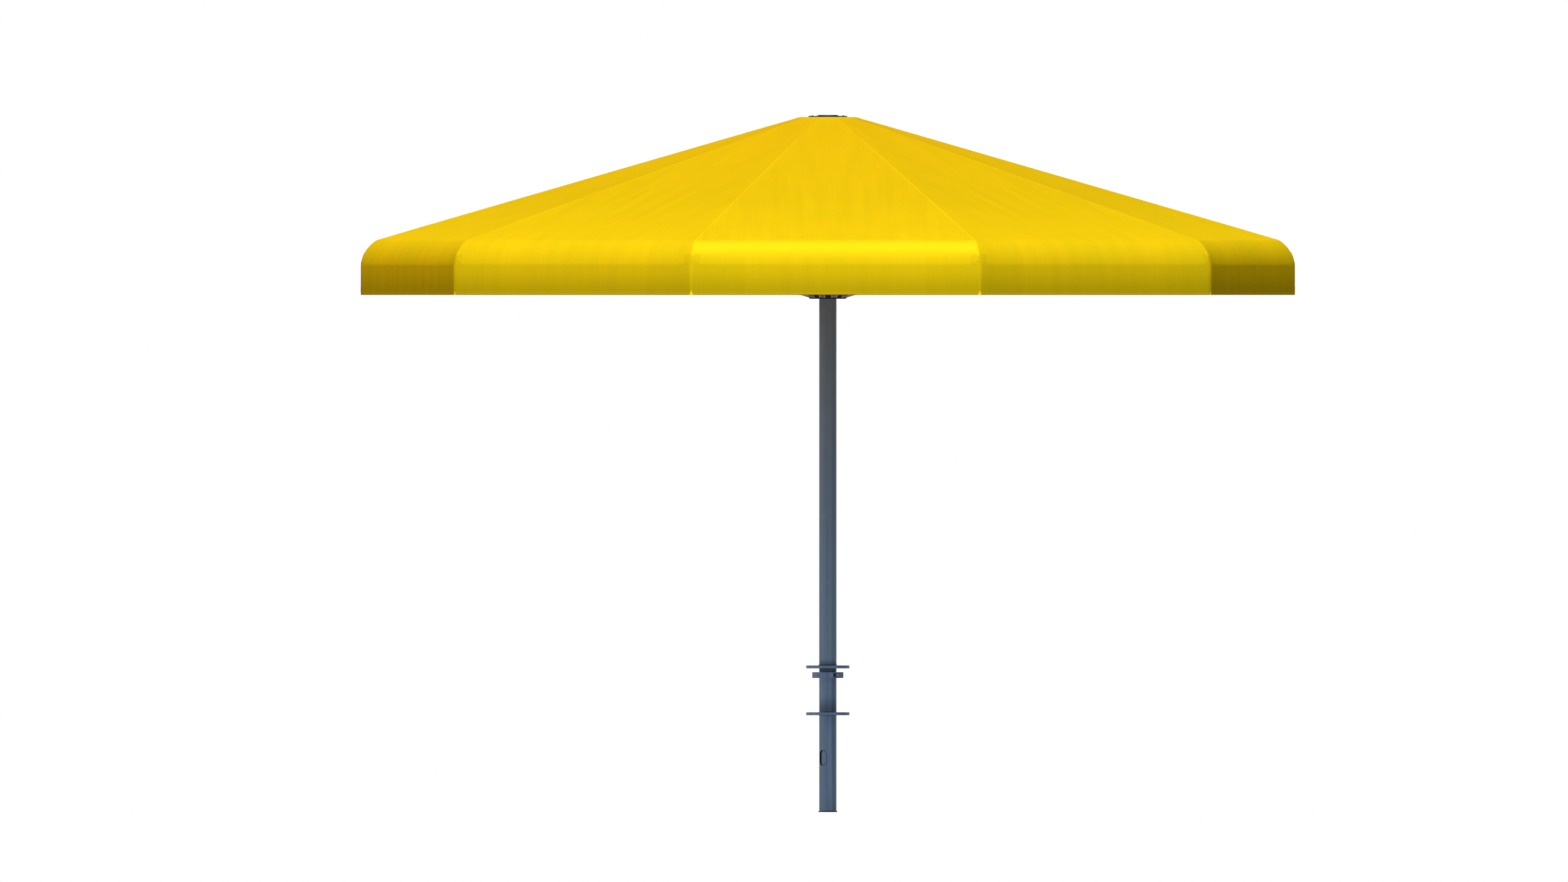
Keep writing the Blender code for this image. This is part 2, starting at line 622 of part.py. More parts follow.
def build_clamp():
    """The split ring that pinches the mast's foot, with its bolt across the split."""
    low, high = CLAMP_Z
    middle_z = (low + high) / 2
    bolt_x = (CLAMP_R + MAST_R) / 2
    turn = around_z(CLAMP_TURN)
    ring = tube("clamp_ring", CLAMP_R, MAST_R + GAP, CLAMP_Z, ROUND_STEPS)
    split = block(
        "split", (MAST_R - OVERRUN, -CLAMP_SPLIT / 2, low - OVERRUN),
        (CLAMP_R + OVERRUN, CLAMP_SPLIT / 2, high + OVERRUN),
    )
    hole = cross_pin("bolt_hole", BOLT_HOLE_R, CLAMP_FLAT_Y + OVERRUN / 2, (bolt_x, middle_z), BOLT_STEPS)
    # the ear is milled flat on both sides so that the bolt's head and nut sit square
    flats = []
    for y_low, y_high in ((CLAMP_FLAT_Y, CLAMP_R), (-CLAMP_R, -CLAMP_FLAT_Y)):
        flats.append(block(
            "flat", (bolt_x - CLAMP_FLAT_BACK, y_low, middle_z - CLAMP_FLAT_HALF_HEIGHT),
            (CLAMP_R + OVERRUN, y_high, middle_z + CLAMP_FLAT_HALF_HEIGHT),
        ))
    cut = combined(ring, [split, hole] + flats, "DIFFERENCE")
    place("clamp_ring", moved(cut, turn), SLEEVE_METAL)
    shank = cross_pin("clamp_bolt", BOLT_R, BOLT_HALF_LENGTH, (bolt_x, middle_z), BOLT_STEPS)
    ends = []
    for y_sign in (-1, 1):
        end = cross_pin("hexagon", BOLT_HEAD_R, BOLT_HEAD_HEIGHT / 2, (bolt_x, middle_z), 6)
        offset = y_sign * (CLAMP_FLAT_Y + GAP + BOLT_HEAD_HEIGHT / 2)
        ends.append(moved(end, Matrix.Translation((0.0, offset, 0.0))))
    place("clamp_bolt", moved(combined(shank, ends, "UNION"), turn), STEEL)


clear_scene()
build_sleeve()
build_clamp()
build_mast()
build_drive()
build_crown()
build_cap()
build_slider()
build_canopy_frame()
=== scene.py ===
"""The looks of the giant ten-rib parasol: its canopy of sewn gores, metal finishes, fasteners and welds."""
import json
import math
from collections import namedtuple

import bmesh
import bpy
from mathutils import Matrix, Vector

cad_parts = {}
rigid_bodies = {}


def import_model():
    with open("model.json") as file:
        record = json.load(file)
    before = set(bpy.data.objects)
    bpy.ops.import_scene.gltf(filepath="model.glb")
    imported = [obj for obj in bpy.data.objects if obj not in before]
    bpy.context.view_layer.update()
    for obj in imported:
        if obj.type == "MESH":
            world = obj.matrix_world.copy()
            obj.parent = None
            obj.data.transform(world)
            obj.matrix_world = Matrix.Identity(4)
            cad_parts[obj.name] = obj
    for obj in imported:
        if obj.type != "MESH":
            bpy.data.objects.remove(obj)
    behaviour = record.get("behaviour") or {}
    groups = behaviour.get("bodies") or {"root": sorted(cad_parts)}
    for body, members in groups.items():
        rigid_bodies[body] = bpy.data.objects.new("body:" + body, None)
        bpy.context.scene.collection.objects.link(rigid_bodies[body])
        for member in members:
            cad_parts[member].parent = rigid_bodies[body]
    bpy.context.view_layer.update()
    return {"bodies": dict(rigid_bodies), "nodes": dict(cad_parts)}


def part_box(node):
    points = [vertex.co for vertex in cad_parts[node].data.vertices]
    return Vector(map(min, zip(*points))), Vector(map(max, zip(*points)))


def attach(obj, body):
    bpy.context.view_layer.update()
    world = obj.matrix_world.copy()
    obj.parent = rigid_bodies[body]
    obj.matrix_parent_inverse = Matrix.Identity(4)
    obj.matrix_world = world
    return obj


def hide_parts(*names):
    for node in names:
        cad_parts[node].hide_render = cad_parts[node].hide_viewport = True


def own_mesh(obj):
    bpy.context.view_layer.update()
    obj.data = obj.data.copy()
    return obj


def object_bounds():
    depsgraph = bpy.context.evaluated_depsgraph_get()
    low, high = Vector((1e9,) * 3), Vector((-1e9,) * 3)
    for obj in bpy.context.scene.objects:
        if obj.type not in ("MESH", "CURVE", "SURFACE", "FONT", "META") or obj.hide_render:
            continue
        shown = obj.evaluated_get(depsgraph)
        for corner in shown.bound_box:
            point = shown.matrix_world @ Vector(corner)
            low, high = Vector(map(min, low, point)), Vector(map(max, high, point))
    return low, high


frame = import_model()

NODES = frame["nodes"]
RIBS = sum(name.startswith("rib_arm_") for name in frame["bodies"])
STEP = 2 * math.pi / RIBS
HALF = STEP / 2
FIRST_BEARING = math.radians(18)        # bearing of rib 1, from -Y towards +X

# ---- the canopy's cut, in a rib's own frame
# x runs out from the mast along the rib, y across it, z up; the crease is the line over the rib
TOP_R = 0.161                           # crease at the canopy's open top
TOP_Z = 4.0925
ROOF_SLOPE = 0.2904
CORNER_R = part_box("canopy_gore_03")[1].x    # rib 3 points along +X
SHOULDER_R = 0.201
SHOULDER_LOW = math.radians(8.1)        # how far the shoulder leans back at the seam
SHOULDER_HIGH = math.radians(59.4)      # and where the roof meets it
HEM_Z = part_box("canopy_gore_01")[0].z
PITCH = math.atan(ROOF_SLOPE)
ROOF_NORMAL = math.pi / 2 - PITCH
DOWN_ROOF = Vector((math.cos(PITCH), 0.0, -math.sin(PITCH)))
OFF_ROOF = Vector((math.sin(PITCH), 0.0, math.cos(PITCH)))
ACROSS = Vector((0.0, 1.0, 0.0))
ROOF_TOP = Vector((TOP_R, 0.0, TOP_Z))
ARC_CENTRE_R = CORNER_R - SHOULDER_R * math.cos(SHOULDER_LOW)
EDGE_R = ARC_CENTRE_R + SHOULDER_R * math.cos(SHOULDER_HIGH)
EDGE_Z = TOP_Z - ROOF_SLOPE * (EDGE_R - TOP_R)
ARC_CENTRE_Z = EDGE_Z - SHOULDER_R * math.sin(SHOULDER_HIGH)
SEAM_Z = ARC_CENTRE_Z + SHOULDER_R * math.sin(SHOULDER_LOW)    # where the valance is sewn on
KINK = 0.009                            # the fold between roof and shoulder is rounded over this reach
ROOF_STEPS = 18
ARC_STEPS = 13
BORDER = math.cos(HALF) * math.sin(HALF)    # half a gore's width for each metre of crease radius
STRIP = TOP_R * BORDER                  # half width of the strip that stays flat on its rib
STRIP_COLUMNS = (0.004, 0.008, 0.012, 0.016, 0.020, 0.026, 0.035, STRIP)
CLOTH = 0.0009
HEM_LAYERS = 2.2                        # the hem's thickness, in single layers
MERGE_CLOTH = 0.00002                   # nearer vertices become one, where a leaf runs to a point
CLOTH_COLOUR = (0.92, 0.65, 0.006)
CLOTH_THROUGH = (0.95, 0.50, 0.004)
HEM_SHADE_COLOUR = (0.48, 0.20, 0.008, 1)    # painted shade: a dark band at the hem's very edge, for the shaded inside of the far cloth
# painted_glow is painted light: the tab behind the notch is 1.4 times as bright, as if lit through the cloth
SHADES = (("plain", 1.0), ("dark", 0.95), ("pale", 1.06), ("painted_glow", 1.40))
THREAD = 0.0022
TOP_HEM = 0.040
HEM_BAND = 0.022
HEM_EDGE = 0.0035                       # the edge at the very bottom, where a dark band is painted as shade
FOLD = 0.0006                           # how proud a doubled layer stands
SEAM_ROWS = (                           # up from the seam, and how proud: the stitches pull in a groove
    (0.0045, 0.0), (0.0025, 0.0), (0.0008, -0.0003), (-0.0008, -0.0003), (-0.0022, FOLD),
)
VALANCE_START = 0.004                   # below the seam
VALANCE_STEPS = 6
HEM_ROWS = (                            # up from the hem, and how proud
    (HEM_BAND - 0.0012, FOLD), (0.011, 2 * FOLD), (HEM_EDGE, 2 * FOLD), (0.0, 2 * FOLD),
)
CREASE_TIGHT = 0.007                    # half the width over which the cloth bends round a rib
CREASE_SOFT = 0.020
WELT_HALF = 0.007                       # the sewn welt over each rib
WELT_HIGH = 0.0014
WELT_START = 1 / 12                     # share of the roof over which it rises at the top
WELT_STOP = 1 / 8                       # and sinks at the fold
NOTCH_HALF = 0.012
NOTCH_HIGH = 0.035
NOTCH_REACH = 0.01                      # below the seam, from where the cloth's rows close up over the notch
SAG = 0.006
RIPPLE = 0.0008
RIPPLES = 5                             # waves from a rib to the middle of the panel
LEAF_COLUMNS = 40

# ---- the metalwork that the small pieces sit on
MAST_R = 0.0508
PIVOT_R = 0.104
CROWN_PIVOT = Vector((PIVOT_R, 0.0, 4.065))
SLIDER_PIVOT = Vector((PIVOT_R, 0.0, 3.041))
BRACKET_PIVOT = Vector((1.426, 0.0, 3.616))
RIB_HALF = 0.017
RIB_COVER = 0.007
RIB_DEPTH = 0.070
RIB_END_Z = 3.212
STRUT_R = 0.0212
CROWN_TOP_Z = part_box("crown_hub")[1].z
COVER_TOP_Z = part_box("cover_plate")[1].z
CLAMP_TOP_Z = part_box("clamp_ring")[1].z
ANCHOR_LOW_Z, ANCHOR_TOP_Z = (corner.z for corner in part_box("anchor_plate"))
BASE_TOP_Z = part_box("sleeve_base_plate")[1].z
PLATE_SHADE = (                               # painted shade on the tube above each plate: from, to, and how dark it starts
    (COVER_TOP_Z, COVER_TOP_Z + 0.045, 0.62), (ANCHOR_TOP_Z, ANCHOR_TOP_Z + 0.11, 0.45),
)
STRUT_UPPER_CUT = 0.050                 # from each pivot to the square-cut end of the strut's tube
STRUT_LOWER_CUT = 0.056
COLLAR = 0.014
COLLAR_THICK = 0.0022
COLLAR_STEPS = 40
CHEEK_FACE = 0.0138                     # outer face of the bracket's cheeks
BRACKET_FOOT = 0.0053                   # the foot plate under the rib
CROWN_SCREW_R = 0.096
CROWN_SLEEVE_R = 0.062
SET_SCREWS = 4
SET_SCREW_Z = 4.012
CROWN_SCREW = (0.0075, 0.0030)          # a head's radius and height
SET_SCREW = (0.0045, 0.0022)
FOOT_SCREW = (0.0042, 0.0024)
RIVET = (0.0048, 0.0018)
RIVETS_ALONG = (0.034, 0.048)           # from the crown pivot
RIVETS_UP = (-0.018, 0.018)
FOOT_SCREWS_ALONG = (-0.040, 0.040)     # from the bracket's pivot
FOOT_SCREWS_ASIDE = (-0.0095, 0.0095)
HEAD_STEPS = 24
RIVET_STEPS = 20
RIVET_ROWS = 5
ROOTED = 0.001                          # how far a head reaches into what it stands on
PIN_R = 0.0056
PIN_HALF = 0.027
PIN_CHAMFER = 0.0006
PIN_CAP = ((0.0, 0.0004), (0.0088, 0.0004), (0.0088, 0.0016), (0.0080, 0.0024), (0.0, 0.0024))
SEAL_STEPS = 64
SEAL = (                                # past the mast's face, above the cover plate
    (0.0001, 0.0002), (0.0045, 0.0002), (0.0040, 0.0018), (0.0016, 0.0042), (0.0001, 0.0046),
)
WELD_SIZE = 0.0030
WELD_ROOT = 0.0008                      # how far the bead reaches into the sleeve
WELD_STEPS = 220
WELD_RIPPLES = 55
SLOT_Z = (0.2745, 0.3655)               # the cable slot in the sleeve
SLOT_WIDTH = 0.050
SLOT_BEARING = math.radians(-38.5)
TRIM_R = 0.0012
TRIM_STEPS = 24                         # round each end of the slot
TRIM_SIDES = 10

# ---- sewn pieces
# a patch is its middle above the seam, half width and half height; its rings are (share of its size, lift)
SPOT = (0.064, 0.016, 0.017)
SPOT_RINGS = ((0.2, 0.0016), (0.5, 0.0016), (0.8, 0.0014), (0.96, 0.0010), (1.0, 0.0004), (0.9, -0.0002))
SPOT_SQUARE = 2                         # the power of the outline: 2 is an ellipse, more is squarer
PATCH = (0.036, 0.0465, 0.0345)
PATCH_RINGS = tuple((0.05 * i, 0.0008) for i in range(1, 20))
PATCH_RINGS += ((0.985, 0.0006), (1.0, 0.0002), (0.97, -0.0002))
PATCH_SQUARE = 7
PATCH_STEPS = 32
PLAIN_RUN = 0.3                         # above the seam, where the cloth has no stitches to copy
PLAIN_BESIDE = 0.02                     # and as far from the rib as shows no welt
TAB_HALF = 0.018
TAB_HIGH = 0.050
TAB_LIFT = 0.0004                       # above the hem's edge
TAB_FACES = (-0.0016, -0.0028)
TAB_ROWS = 6
TAB_COLUMNS = 8
POCKET_START = 0.76                     # angle on the shoulder's arc where the pocket is open
POCKET_END_Z = RIB_END_Z - 0.006
POCKET_STEPS = 9
POCKET_MIDDLE = 0.044                   # distance from the crease to the pocket's middle
POCKET_HALF = 0.0205
POCKET_TIP = 0.005                      # how much the sewn end is drawn in
POCKET_SECTION = (                      # across the rib, and down from the crease
    (-0.011, 0.0058), (0.011, 0.0058), (0.0192, 0.0125), (POCKET_HALF, 0.018), (POCKET_HALF, 0.077),
    (0.016, 0.083), (-0.016, 0.083), (-POCKET_HALF, 0.077), (-POCKET_HALF, 0.018), (-0.0192, 0.0125),
)
STRAP_PLACES = (0.50, 0.96, 1.78, 2.24)     # along the roof from the canopy's top
STRAP_HALF_WIDE = RIB_HALF + 0.0012
STRAP_HALF_HIGH = RIB_DEPTH / 2 + 0.0012
STRAP_HALF_BAND = 0.0125
STRAP_THICK = 0.0012
STRAP_STEPS = 32
STRAP_RUN = 0.03                        # cloth used for each radian of the loop
STRAP_CORNER = 0.25                     # the power that squares the loop to the box section

# ---- metals
SLEEVE_COLOURS = (0.155, 0.24, 0.385, 1), (0.205, 0.30, 0.465, 1)
SMOOTH, CAST = 0.00008, 0.0002          # depth of the relief
METAL_FIELDS = "dark pale metallic roughness grain relief fade tube"
Metal = namedtuple("Metal", METAL_FIELDS, defaults=(SMOOTH, None, False))
METALS = {                              # fade: the canopy's light painted on the mast's top, where it starts and is full, and its colour
    "sleeve_steel": Metal(*SLEEVE_COLOURS, 0.92, 0.12, (60, 60, 2)),
    "sleeve_tube": Metal(*SLEEVE_COLOURS, 0.92, 0.12, (60, 60, 2), tube=True),
    "mast_coated": Metal(
        (0.18, 0.265, 0.40, 1), (0.235, 0.33, 0.475, 1), 0.92, 0.36, (120, 120, 0.8),
        # painted reflection: the yellow canopy's light greys the mast's blue towards the top
        fade=(1.1, 3.0, (0.24, 0.26, 0.26, 1)), tube=True,
    ),
    "hub_cast": Metal((0.018, 0.022, 0.024, 1), (0.034, 0.040, 0.044, 1), 0.4, 0.5, (40, 40, 40), CAST),
    "crown_cast": Metal((0.024, 0.045, 0.028, 1), (0.045, 0.070, 0.042, 1), 0.4, 0.5, (40, 40, 40), CAST),
    "cap_cast": Metal((0.10, 0.14, 0.065, 1), (0.17, 0.20, 0.10, 1), 0.4, 0.5, (60, 60, 60), CAST),
    "rib_aluminium": Metal((0.26, 0.32, 0.39, 1), (0.34, 0.41, 0.49, 1), 0.8, 0.36, (160, 160, 160)),
    "strut_aluminium": Metal((0.46, 0.57, 0.72, 1), (0.58, 0.69, 0.84, 1), 0.8, 0.33, (120, 120, 120)),
    "drive_steel": Metal((0.42, 0.42, 0.44, 1), (0.55, 0.55, 0.57, 1), 1.0, 0.28, (200, 200, 8)),
    "motor_housing": Metal((0.03, 0.032, 0.036, 1), (0.05, 0.053, 0.06, 1), 0.3, 0.45, (80, 80, 6)),
    "nut_bronze": Metal((0.42, 0.24, 0.09, 1), (0.55, 0.34, 0.13, 1), 1.0, 0.32, (90, 90, 12)),
    "bush_polymer": Metal((0.012, 0.012, 0.014, 1), (0.024, 0.024, 0.027, 1), 0.0, 0.45, (70, 70, 70)),
}
FINISHES = {                            # each CAD node's metal, and the bevel of its edges
    "ground_sleeve": ("sleeve_tube", 0.0006),
    "sleeve_base_plate": ("sleeve_steel", 0.0008),
    "anchor_plate": ("sleeve_steel", 0.0015),
    "clamp_ring": ("sleeve_steel", 0.0012),
    "cover_plate": ("sleeve_steel", 0.0015),
    "mast_spigot": ("sleeve_steel", 0.0006),
    "mast_tube": ("mast_coated", 0.0006),
    "mast_cap": ("cap_cast", 0.0008),
    "crown_hub": ("crown_cast", 0.0008),
    "slider_hub": ("hub_cast", 0.0010),
    "slider_bush": ("bush_polymer", 0.0004),
    "drive_nut": ("nut_bronze", 0.0006),
    "clamp_bolt": ("drive_steel", 0.0008),
    "motor_mount": ("drive_steel", 0.0006),
    "drive_motor": ("motor_housing", 0.0010),
    "lower_bearing": ("drive_steel", 0.0006),
    "upper_bearing": ("drive_steel", 0.0006),
    "drive_spindle": ("drive_steel", 0.0004),
    "motor_coupling": ("drive_steel", 0.0005),
    "strut_bracket": ("rib_aluminium", 0.0006),
    "strut": ("strut_aluminium", 0.0006),
    "rib": ("rib_aluminium", 0.0008),
}
MERGE_CAD = 0.00003                     # joins the imported triangles at their corners
SOFT_EDGE = math.radians(32)            # flatter edges than this are shaded round and not bevelled

# ---- the studio
CAMERA_TURN = math.radians(-0.98)
CAMERA_ASIDE = -0.258
CAMERA_Z = 2.185
CAMERA_AWAY = 14.0
CAMERA_WIDTH = 9.23
FLOOR_HALF = 400.0
LAMPS = (                               # name, azimuth, elevation, power, spread, colour, diffuse, gloss
    ("key", -4.5, 40.0, 3.95, 40.0, (1.0, 1.11, 0.95), True, False),
    ("overhead", -4.5, 83.0, 0.76, 10.0, (1.0, 0.86, 0.80), True, False),
    ("softbox", -4.5, 79.5, 1.8, 18.0, (1.0, 1.0, 2.4), False, True),
    ("back", 175.0, 14.0, 1.5, 60.0, (0.95, 0.97, 1.0), True, False),
)
WALLS = (                               # bearing from the front, and the light that comes from there
    (-180.0, 0.34, 0.34, 0.36), (-89.0, 0.60, 0.55, 0.51), (-41.0, 0.41, 0.40, 0.40), (0.0, 0.27, 0.28, 0.30),
    (41.0, 0.38, 0.39, 0.43), (50.0, 0.38, 0.39, 0.43), (54.0, 0.15, 0.145, 0.14), (112.0, 0.15, 0.145, 0.14),
    (130.0, 0.27, 0.29, 0.34), (180.0, 0.34, 0.34, 0.36),
)

# a place on the crease: radius, height, how proud the cloth lies, share of the roof, tilt of its normal
Station = namedtuple("Station", "r z out share tilt")


# ---- node tools
def feed(tree, target, inputs):
    """Links each socket to its input on the target node, and sets each plain value there."""
    for key, value in inputs.items():
        if isinstance(value, bpy.types.NodeSocket):
            tree.links.new(value, target.inputs[key])
        else:
            target.inputs[key].default_value = value


def node(tree, kind, inputs=None, **settings):
    """A shader node with its settings and inputs."""
    made = tree.nodes.new("ShaderNode" + kind)
    for key, value in settings.items():
        setattr(made, key, value)
    feed(tree, made, inputs or {})
    return made


def maths(tree, operation, a, b=0.0, clamp=False):
    return node(tree, "Math", {0: a, 1: b}, operation=operation, use_clamp=clamp).outputs[0]


def times(tree, first, *others):
    for other in others:
        first = maths(tree, "MULTIPLY", first, other)
    return first


def plus(tree, first, *others):
    for other in others:
        first = maths(tree, "ADD", first, other)
    return first


def mapped(tree, value, low, high, to_low, to_high, curve="SMOOTHSTEP"):
    inputs = {"Value": value, "From Min": low, "From Max": high, "To Min": to_low, "To Max": to_high}
    return node(tree, "MapRange", inputs, interpolation_type=curve).outputs["Result"]


def noise(tree, vector, scale, detail=3.0, roughness=0.55):
    inputs = {"Vector": vector, "Scale": scale, "Detail": detail, "Roughness": roughness}
    return node(tree, "TexNoise", inputs).outputs["Fac"]


def stretched(tree, vector, scale):
    return node(tree, "Mapping", {"Vector": vector, "Scale": scale}).outputs["Vector"]


def tint(tree, factor, one, other, blend="MIX"):
    """A mix of two colours by a factor."""
    inputs = {0: factor, 6: one, 7: other}
    return node(tree, "Mix", inputs, data_type="RGBA", blend_type=blend).outputs[2]


def pulse(tree, value, period, width):
    """1 on a line of a given width at every multiple of the period, 0 between the lines."""
    turned = maths(tree, "PINGPONG", value, period / 2)
    return mapped(tree, turned, width * 0.3, width * 0.7, 1.0, 0.0)


def ramp(tree, value, stops):
    """Linear colours along a value from 0 to 1, from (value, colour) stops."""
    made = node(tree, "ValToRGB", {"Fac": value})
    points = made.color_ramp.elements
    while len(points) < len(stops):
        points.new(1.0)
    for point, (position, colour) in zip(points, stops):
        point.position = position
        point.color = colour
    return made.outputs["Color"]


def band(tree, value, middle, width):
    """1 within half a width of the middle, 0 beyond."""
    away = maths(tree, "ABSOLUTE", maths(tree, "SUBTRACT", value, middle))
    return mapped(tree, away, width * 0.35, width * 0.65, 1.0, 0.0)


def new_material(name):
    made = bpy.data.materials.new(name)
    made.use_nodes = True
    tree = made.node_tree
    tree.nodes.clear()
    return made, tree, node(tree, "OutputMaterial"), node(tree, "BsdfPrincipled")


# ---- materials
def thread_relief(tree, across, down):
    """The plain weave, as a fine chequer of threads."""
    warp = maths(tree, "SINE", times(tree, across, 2 * math.pi / THREAD))
    weft = maths(tree, "SINE", times(tree, down, 2 * math.pi / THREAD))
    return times(tree, warp, weft)


def stitch_lines(tree, across, down, places):
    """1 on the stitches of each seam that runs across the panel, 0 elsewhere."""
    lines = 0.0
    for place in places:
        lines = maths(tree, "MAXIMUM", band(tree, down, place, 0.0012), lines)
    return times(tree, pulse(tree, across, 0.0055, 0.004), lines)


def panel_marks(tree, uv, across, clouds):
    """The cloth's own variation in lightness: soft streaks, faint lines, clouds and a fine mottle."""
    streaks = noise(tree, stretched(tree, uv, (14.0, 0.9, 1.0)), 1.0, 4.0)
    breaks = noise(tree, stretched(tree, uv, (60.0, 25.0, 1.0)), 1.0, 2.0)
    broken = mapped(tree, breaks, 0.35, 0.65, 0.3, 1.0)
    lines = times(tree, pulse(tree, across, 0.018, 0.005), broken, 0.05)
    mottle = mapped(tree, noise(tree, uv, 170.0, 2.0), 0.3, 0.7, 0.96, 1.04)
    light = plus(tree, times(tree, streaks, 0.14), 0.93)
    light = times(tree, light, mapped(tree, clouds, 0.3, 0.7, 0.975, 1.02))
    return times(tree, maths(tree, "SUBTRACT", light, lines), mottle), streaks


def sewn_marks(tree, light, beside, down, seam_v, hem_v):
    """Painted shade makes it darker low on the valance and high on the roof; it is also darker at the seam,
    lighter at the doubled hems, and a painted highlight lightens it along the welts.
    """
    # painted shade: darker down the valance towards the hem
    low = mapped(tree, down, seam_v, hem_v, 1.0, 0.70)
    # painted shade: darker high on the roof
    high = mapped(tree, down, 0.55 * seam_v, seam_v, 0.93, 1.0)
    seam = mapped(tree, band(tree, down, seam_v, 0.0045), 0.0, 1.0, 1.0, 0.90)
    top_hem = mapped(tree, down, 0.010, 0.014, 0.16, 0.0)
    low_hem = band(tree, down, hem_v - 2.5 * HEM_EDGE, 2 * HEM_EDGE)
    # painted highlight: lighter along the welt over each rib, growing down the roof
    welt_highlight = times(tree, mapped(tree, beside, 0.003, 0.008, 0.10, 0.0), mapped(tree, down, 0.25, 0.9, 0.0, 1.0))
    light = times(tree, plus(tree, times(tree, light, low, high), top_hem), seam)
    return plus(tree, light, times(tree, low_hem, 0.07), welt_highlight)


def fabric_material(name, shade, seam_v, hem_v):
    """Coated canvas: u runs across the panel, v down it, both in metres. shade makes it darker or lighter."""
    made, tree, output, shader = new_material(name)
    uv = node(tree, "UVMap", uv_map="cloth").outputs["UV"]
    across, down = node(tree, "SeparateXYZ", {0: uv}).outputs[:2]
    beside = node(tree, "SeparateXYZ", {0: node(tree, "UVMap", uv_map="rib").outputs["UV"]}).outputs[0]
    colour = tuple(channel * shade for channel in CLOTH_COLOUR)
    through = tuple(channel * shade for channel in CLOTH_THROUGH)

    weave = thread_relief(tree, across, down)
    clouds = noise(tree, uv, 2.2, 3.0)
    sewing = stitch_lines(tree, across, down, (seam_v + 0.007, hem_v - HEM_BAND + 0.004, TOP_HEM * 1.02))
    light, streaks = panel_marks(tree, uv, across, clouds)
    light = sewn_marks(tree, plus(tree, light, times(tree, weave, 0.02)), beside, down, seam_v, hem_v)
    light = plus(tree, light, times(tree, sewing, 0.06))
    # painted shade: the green falls towards the roof's top, so the roof is painted more orange there
    green = times(tree, light, mapped(tree, down, 0.0, seam_v, 0.91, 1.02, "LINEAR"))
    gain = node(tree, "CombineXYZ", {0: light, 1: green, 2: light}).outputs[0]
    warmer = (colour[0], colour[1] * 0.97, colour[2], 1)
    base = tint(tree, mapped(tree, clouds, 0.35, 0.65, 0.0, 1.0), colour + (1,), warmer)
    base = tint(tree, 1.0, base, gain, "MULTIPLY")
    # painted shade: the hem's very edge turns dark orange-brown
    hem_shade = mapped(tree, down, hem_v - HEM_EDGE - 0.0005, hem_v - HEM_EDGE + 0.0005, 0.0, 1.0)
    base = tint(tree, hem_shade, base, HEM_SHADE_COLOUR)

    relief = plus(tree, weave, times(tree, sewing, 3.0), times(tree, streaks, 1.5))
    bump = node(tree, "Bump", {"Height": relief, "Strength": 0.35, "Distance": 0.00025}).outputs["Normal"]
    feed(tree, shader, {
        "Base Color": base, "Normal": bump, "Roughness": mapped(tree, streaks, 0.3, 0.7, 0.40, 0.50),
        "Specular IOR Level": 0.0, "Specular Tint": (1.0, 0.75, 0.03, 1), "Metallic": 0.16,
    })
    shining = tint(tree, 1.0, gain, through + (1,), "MULTIPLY")
    glow = node(tree, "BsdfTranslucent", {"Color": shining, "Normal": bump})
    mix = node(tree, "MixShader", {0: 0.22, 1: shader.outputs[0], 2: glow.outputs[0]})
    feed(tree, output, {"Surface": mix.outputs[0]})
    return made


def painted_plate_shade(tree, z, base):
    """Painted shade darkens the tube where it stands on a plate, and in the gap under the cover plate."""
    for low, high, share in PLATE_SHADE:
        unshaded = mapped(tree, z, low, high, share, 1.0)
        below = maths(tree, "LESS_THAN", z, low - 0.0005)
        gain = maths(tree, "MAXIMUM", unshaded, below)
        grey = node(tree, "CombineXYZ", {0: gain, 1: gain, 2: gain}).outputs[0]
        base = tint(tree, 1.0, base, grey, "MULTIPLY")
    above = mapped(tree, z, CLAMP_TOP_Z - 0.001, CLAMP_TOP_Z + 0.001, 0.0, 1.0)
    # painted shadow: the tube is painted near black between the clamp ring and the cover plate
    gap = times(tree, above, maths(tree, "LESS_THAN", z, COVER_TOP_Z - 0.001), 0.62)
    return tint(tree, gap, base, (0.01, 0.012, 0.016, 1))


def metal_material(name, metal):
    """A metal or coated metal with streaks along its grain, fine relief and worn patches."""
    made, tree, output, shader = new_material(name)
    place = node(tree, "TexCoord").outputs["Object"]
    z = node(tree, "SeparateXYZ", {0: place}).outputs[2]
    streaks = noise(tree, stretched(tree, place, metal.grain), 1.0, 5.0)
    clouds = noise(tree, place, 9.0, 4.0)
    speckle = noise(tree, place, 900.0, 2.0)
    base = tint(tree, mapped(tree, streaks, 0.3, 0.7, 0.0, 1.0), metal.dark, metal.pale)
    # painted reflection of the canopy above: greyer towards the top
    if metal.fade:
        low, high, colour = metal.fade
        base = tint(tree, mapped(tree, z, low, high, 0.0, 0.75), base, colour)
    patches = mapped(tree, clouds, 0.55, 0.8, 0.0, 0.35)
    worn = times(tree, patches, mapped(tree, speckle, 0.4, 0.6, 0.2, 1.0))
    base = tint(tree, worn, base, tuple(min(1.0, c * 1.35) for c in metal.pale[:3]) + (1,))
    # painted shade on tubes at their plates
    if metal.tube:
        base = painted_plate_shade(tree, z, base)
    spread = mapped(tree, clouds, 0.3, 0.7, metal.roughness - 0.04, metal.roughness + 0.04)
    rough = plus(tree, spread, times(tree, streaks, 0.06))
    relief = plus(tree, streaks, times(tree, speckle, 0.7))
    bump = node(tree, "Bump", {"Height": relief, "Strength": 0.4, "Distance": metal.relief}).outputs["Normal"]
    feed(tree, shader, {"Base Color": base, "Roughness": rough, "Normal": bump, "Metallic": metal.metallic})
    feed(tree, output, {"Surface": shader.outputs[0]})
    return made


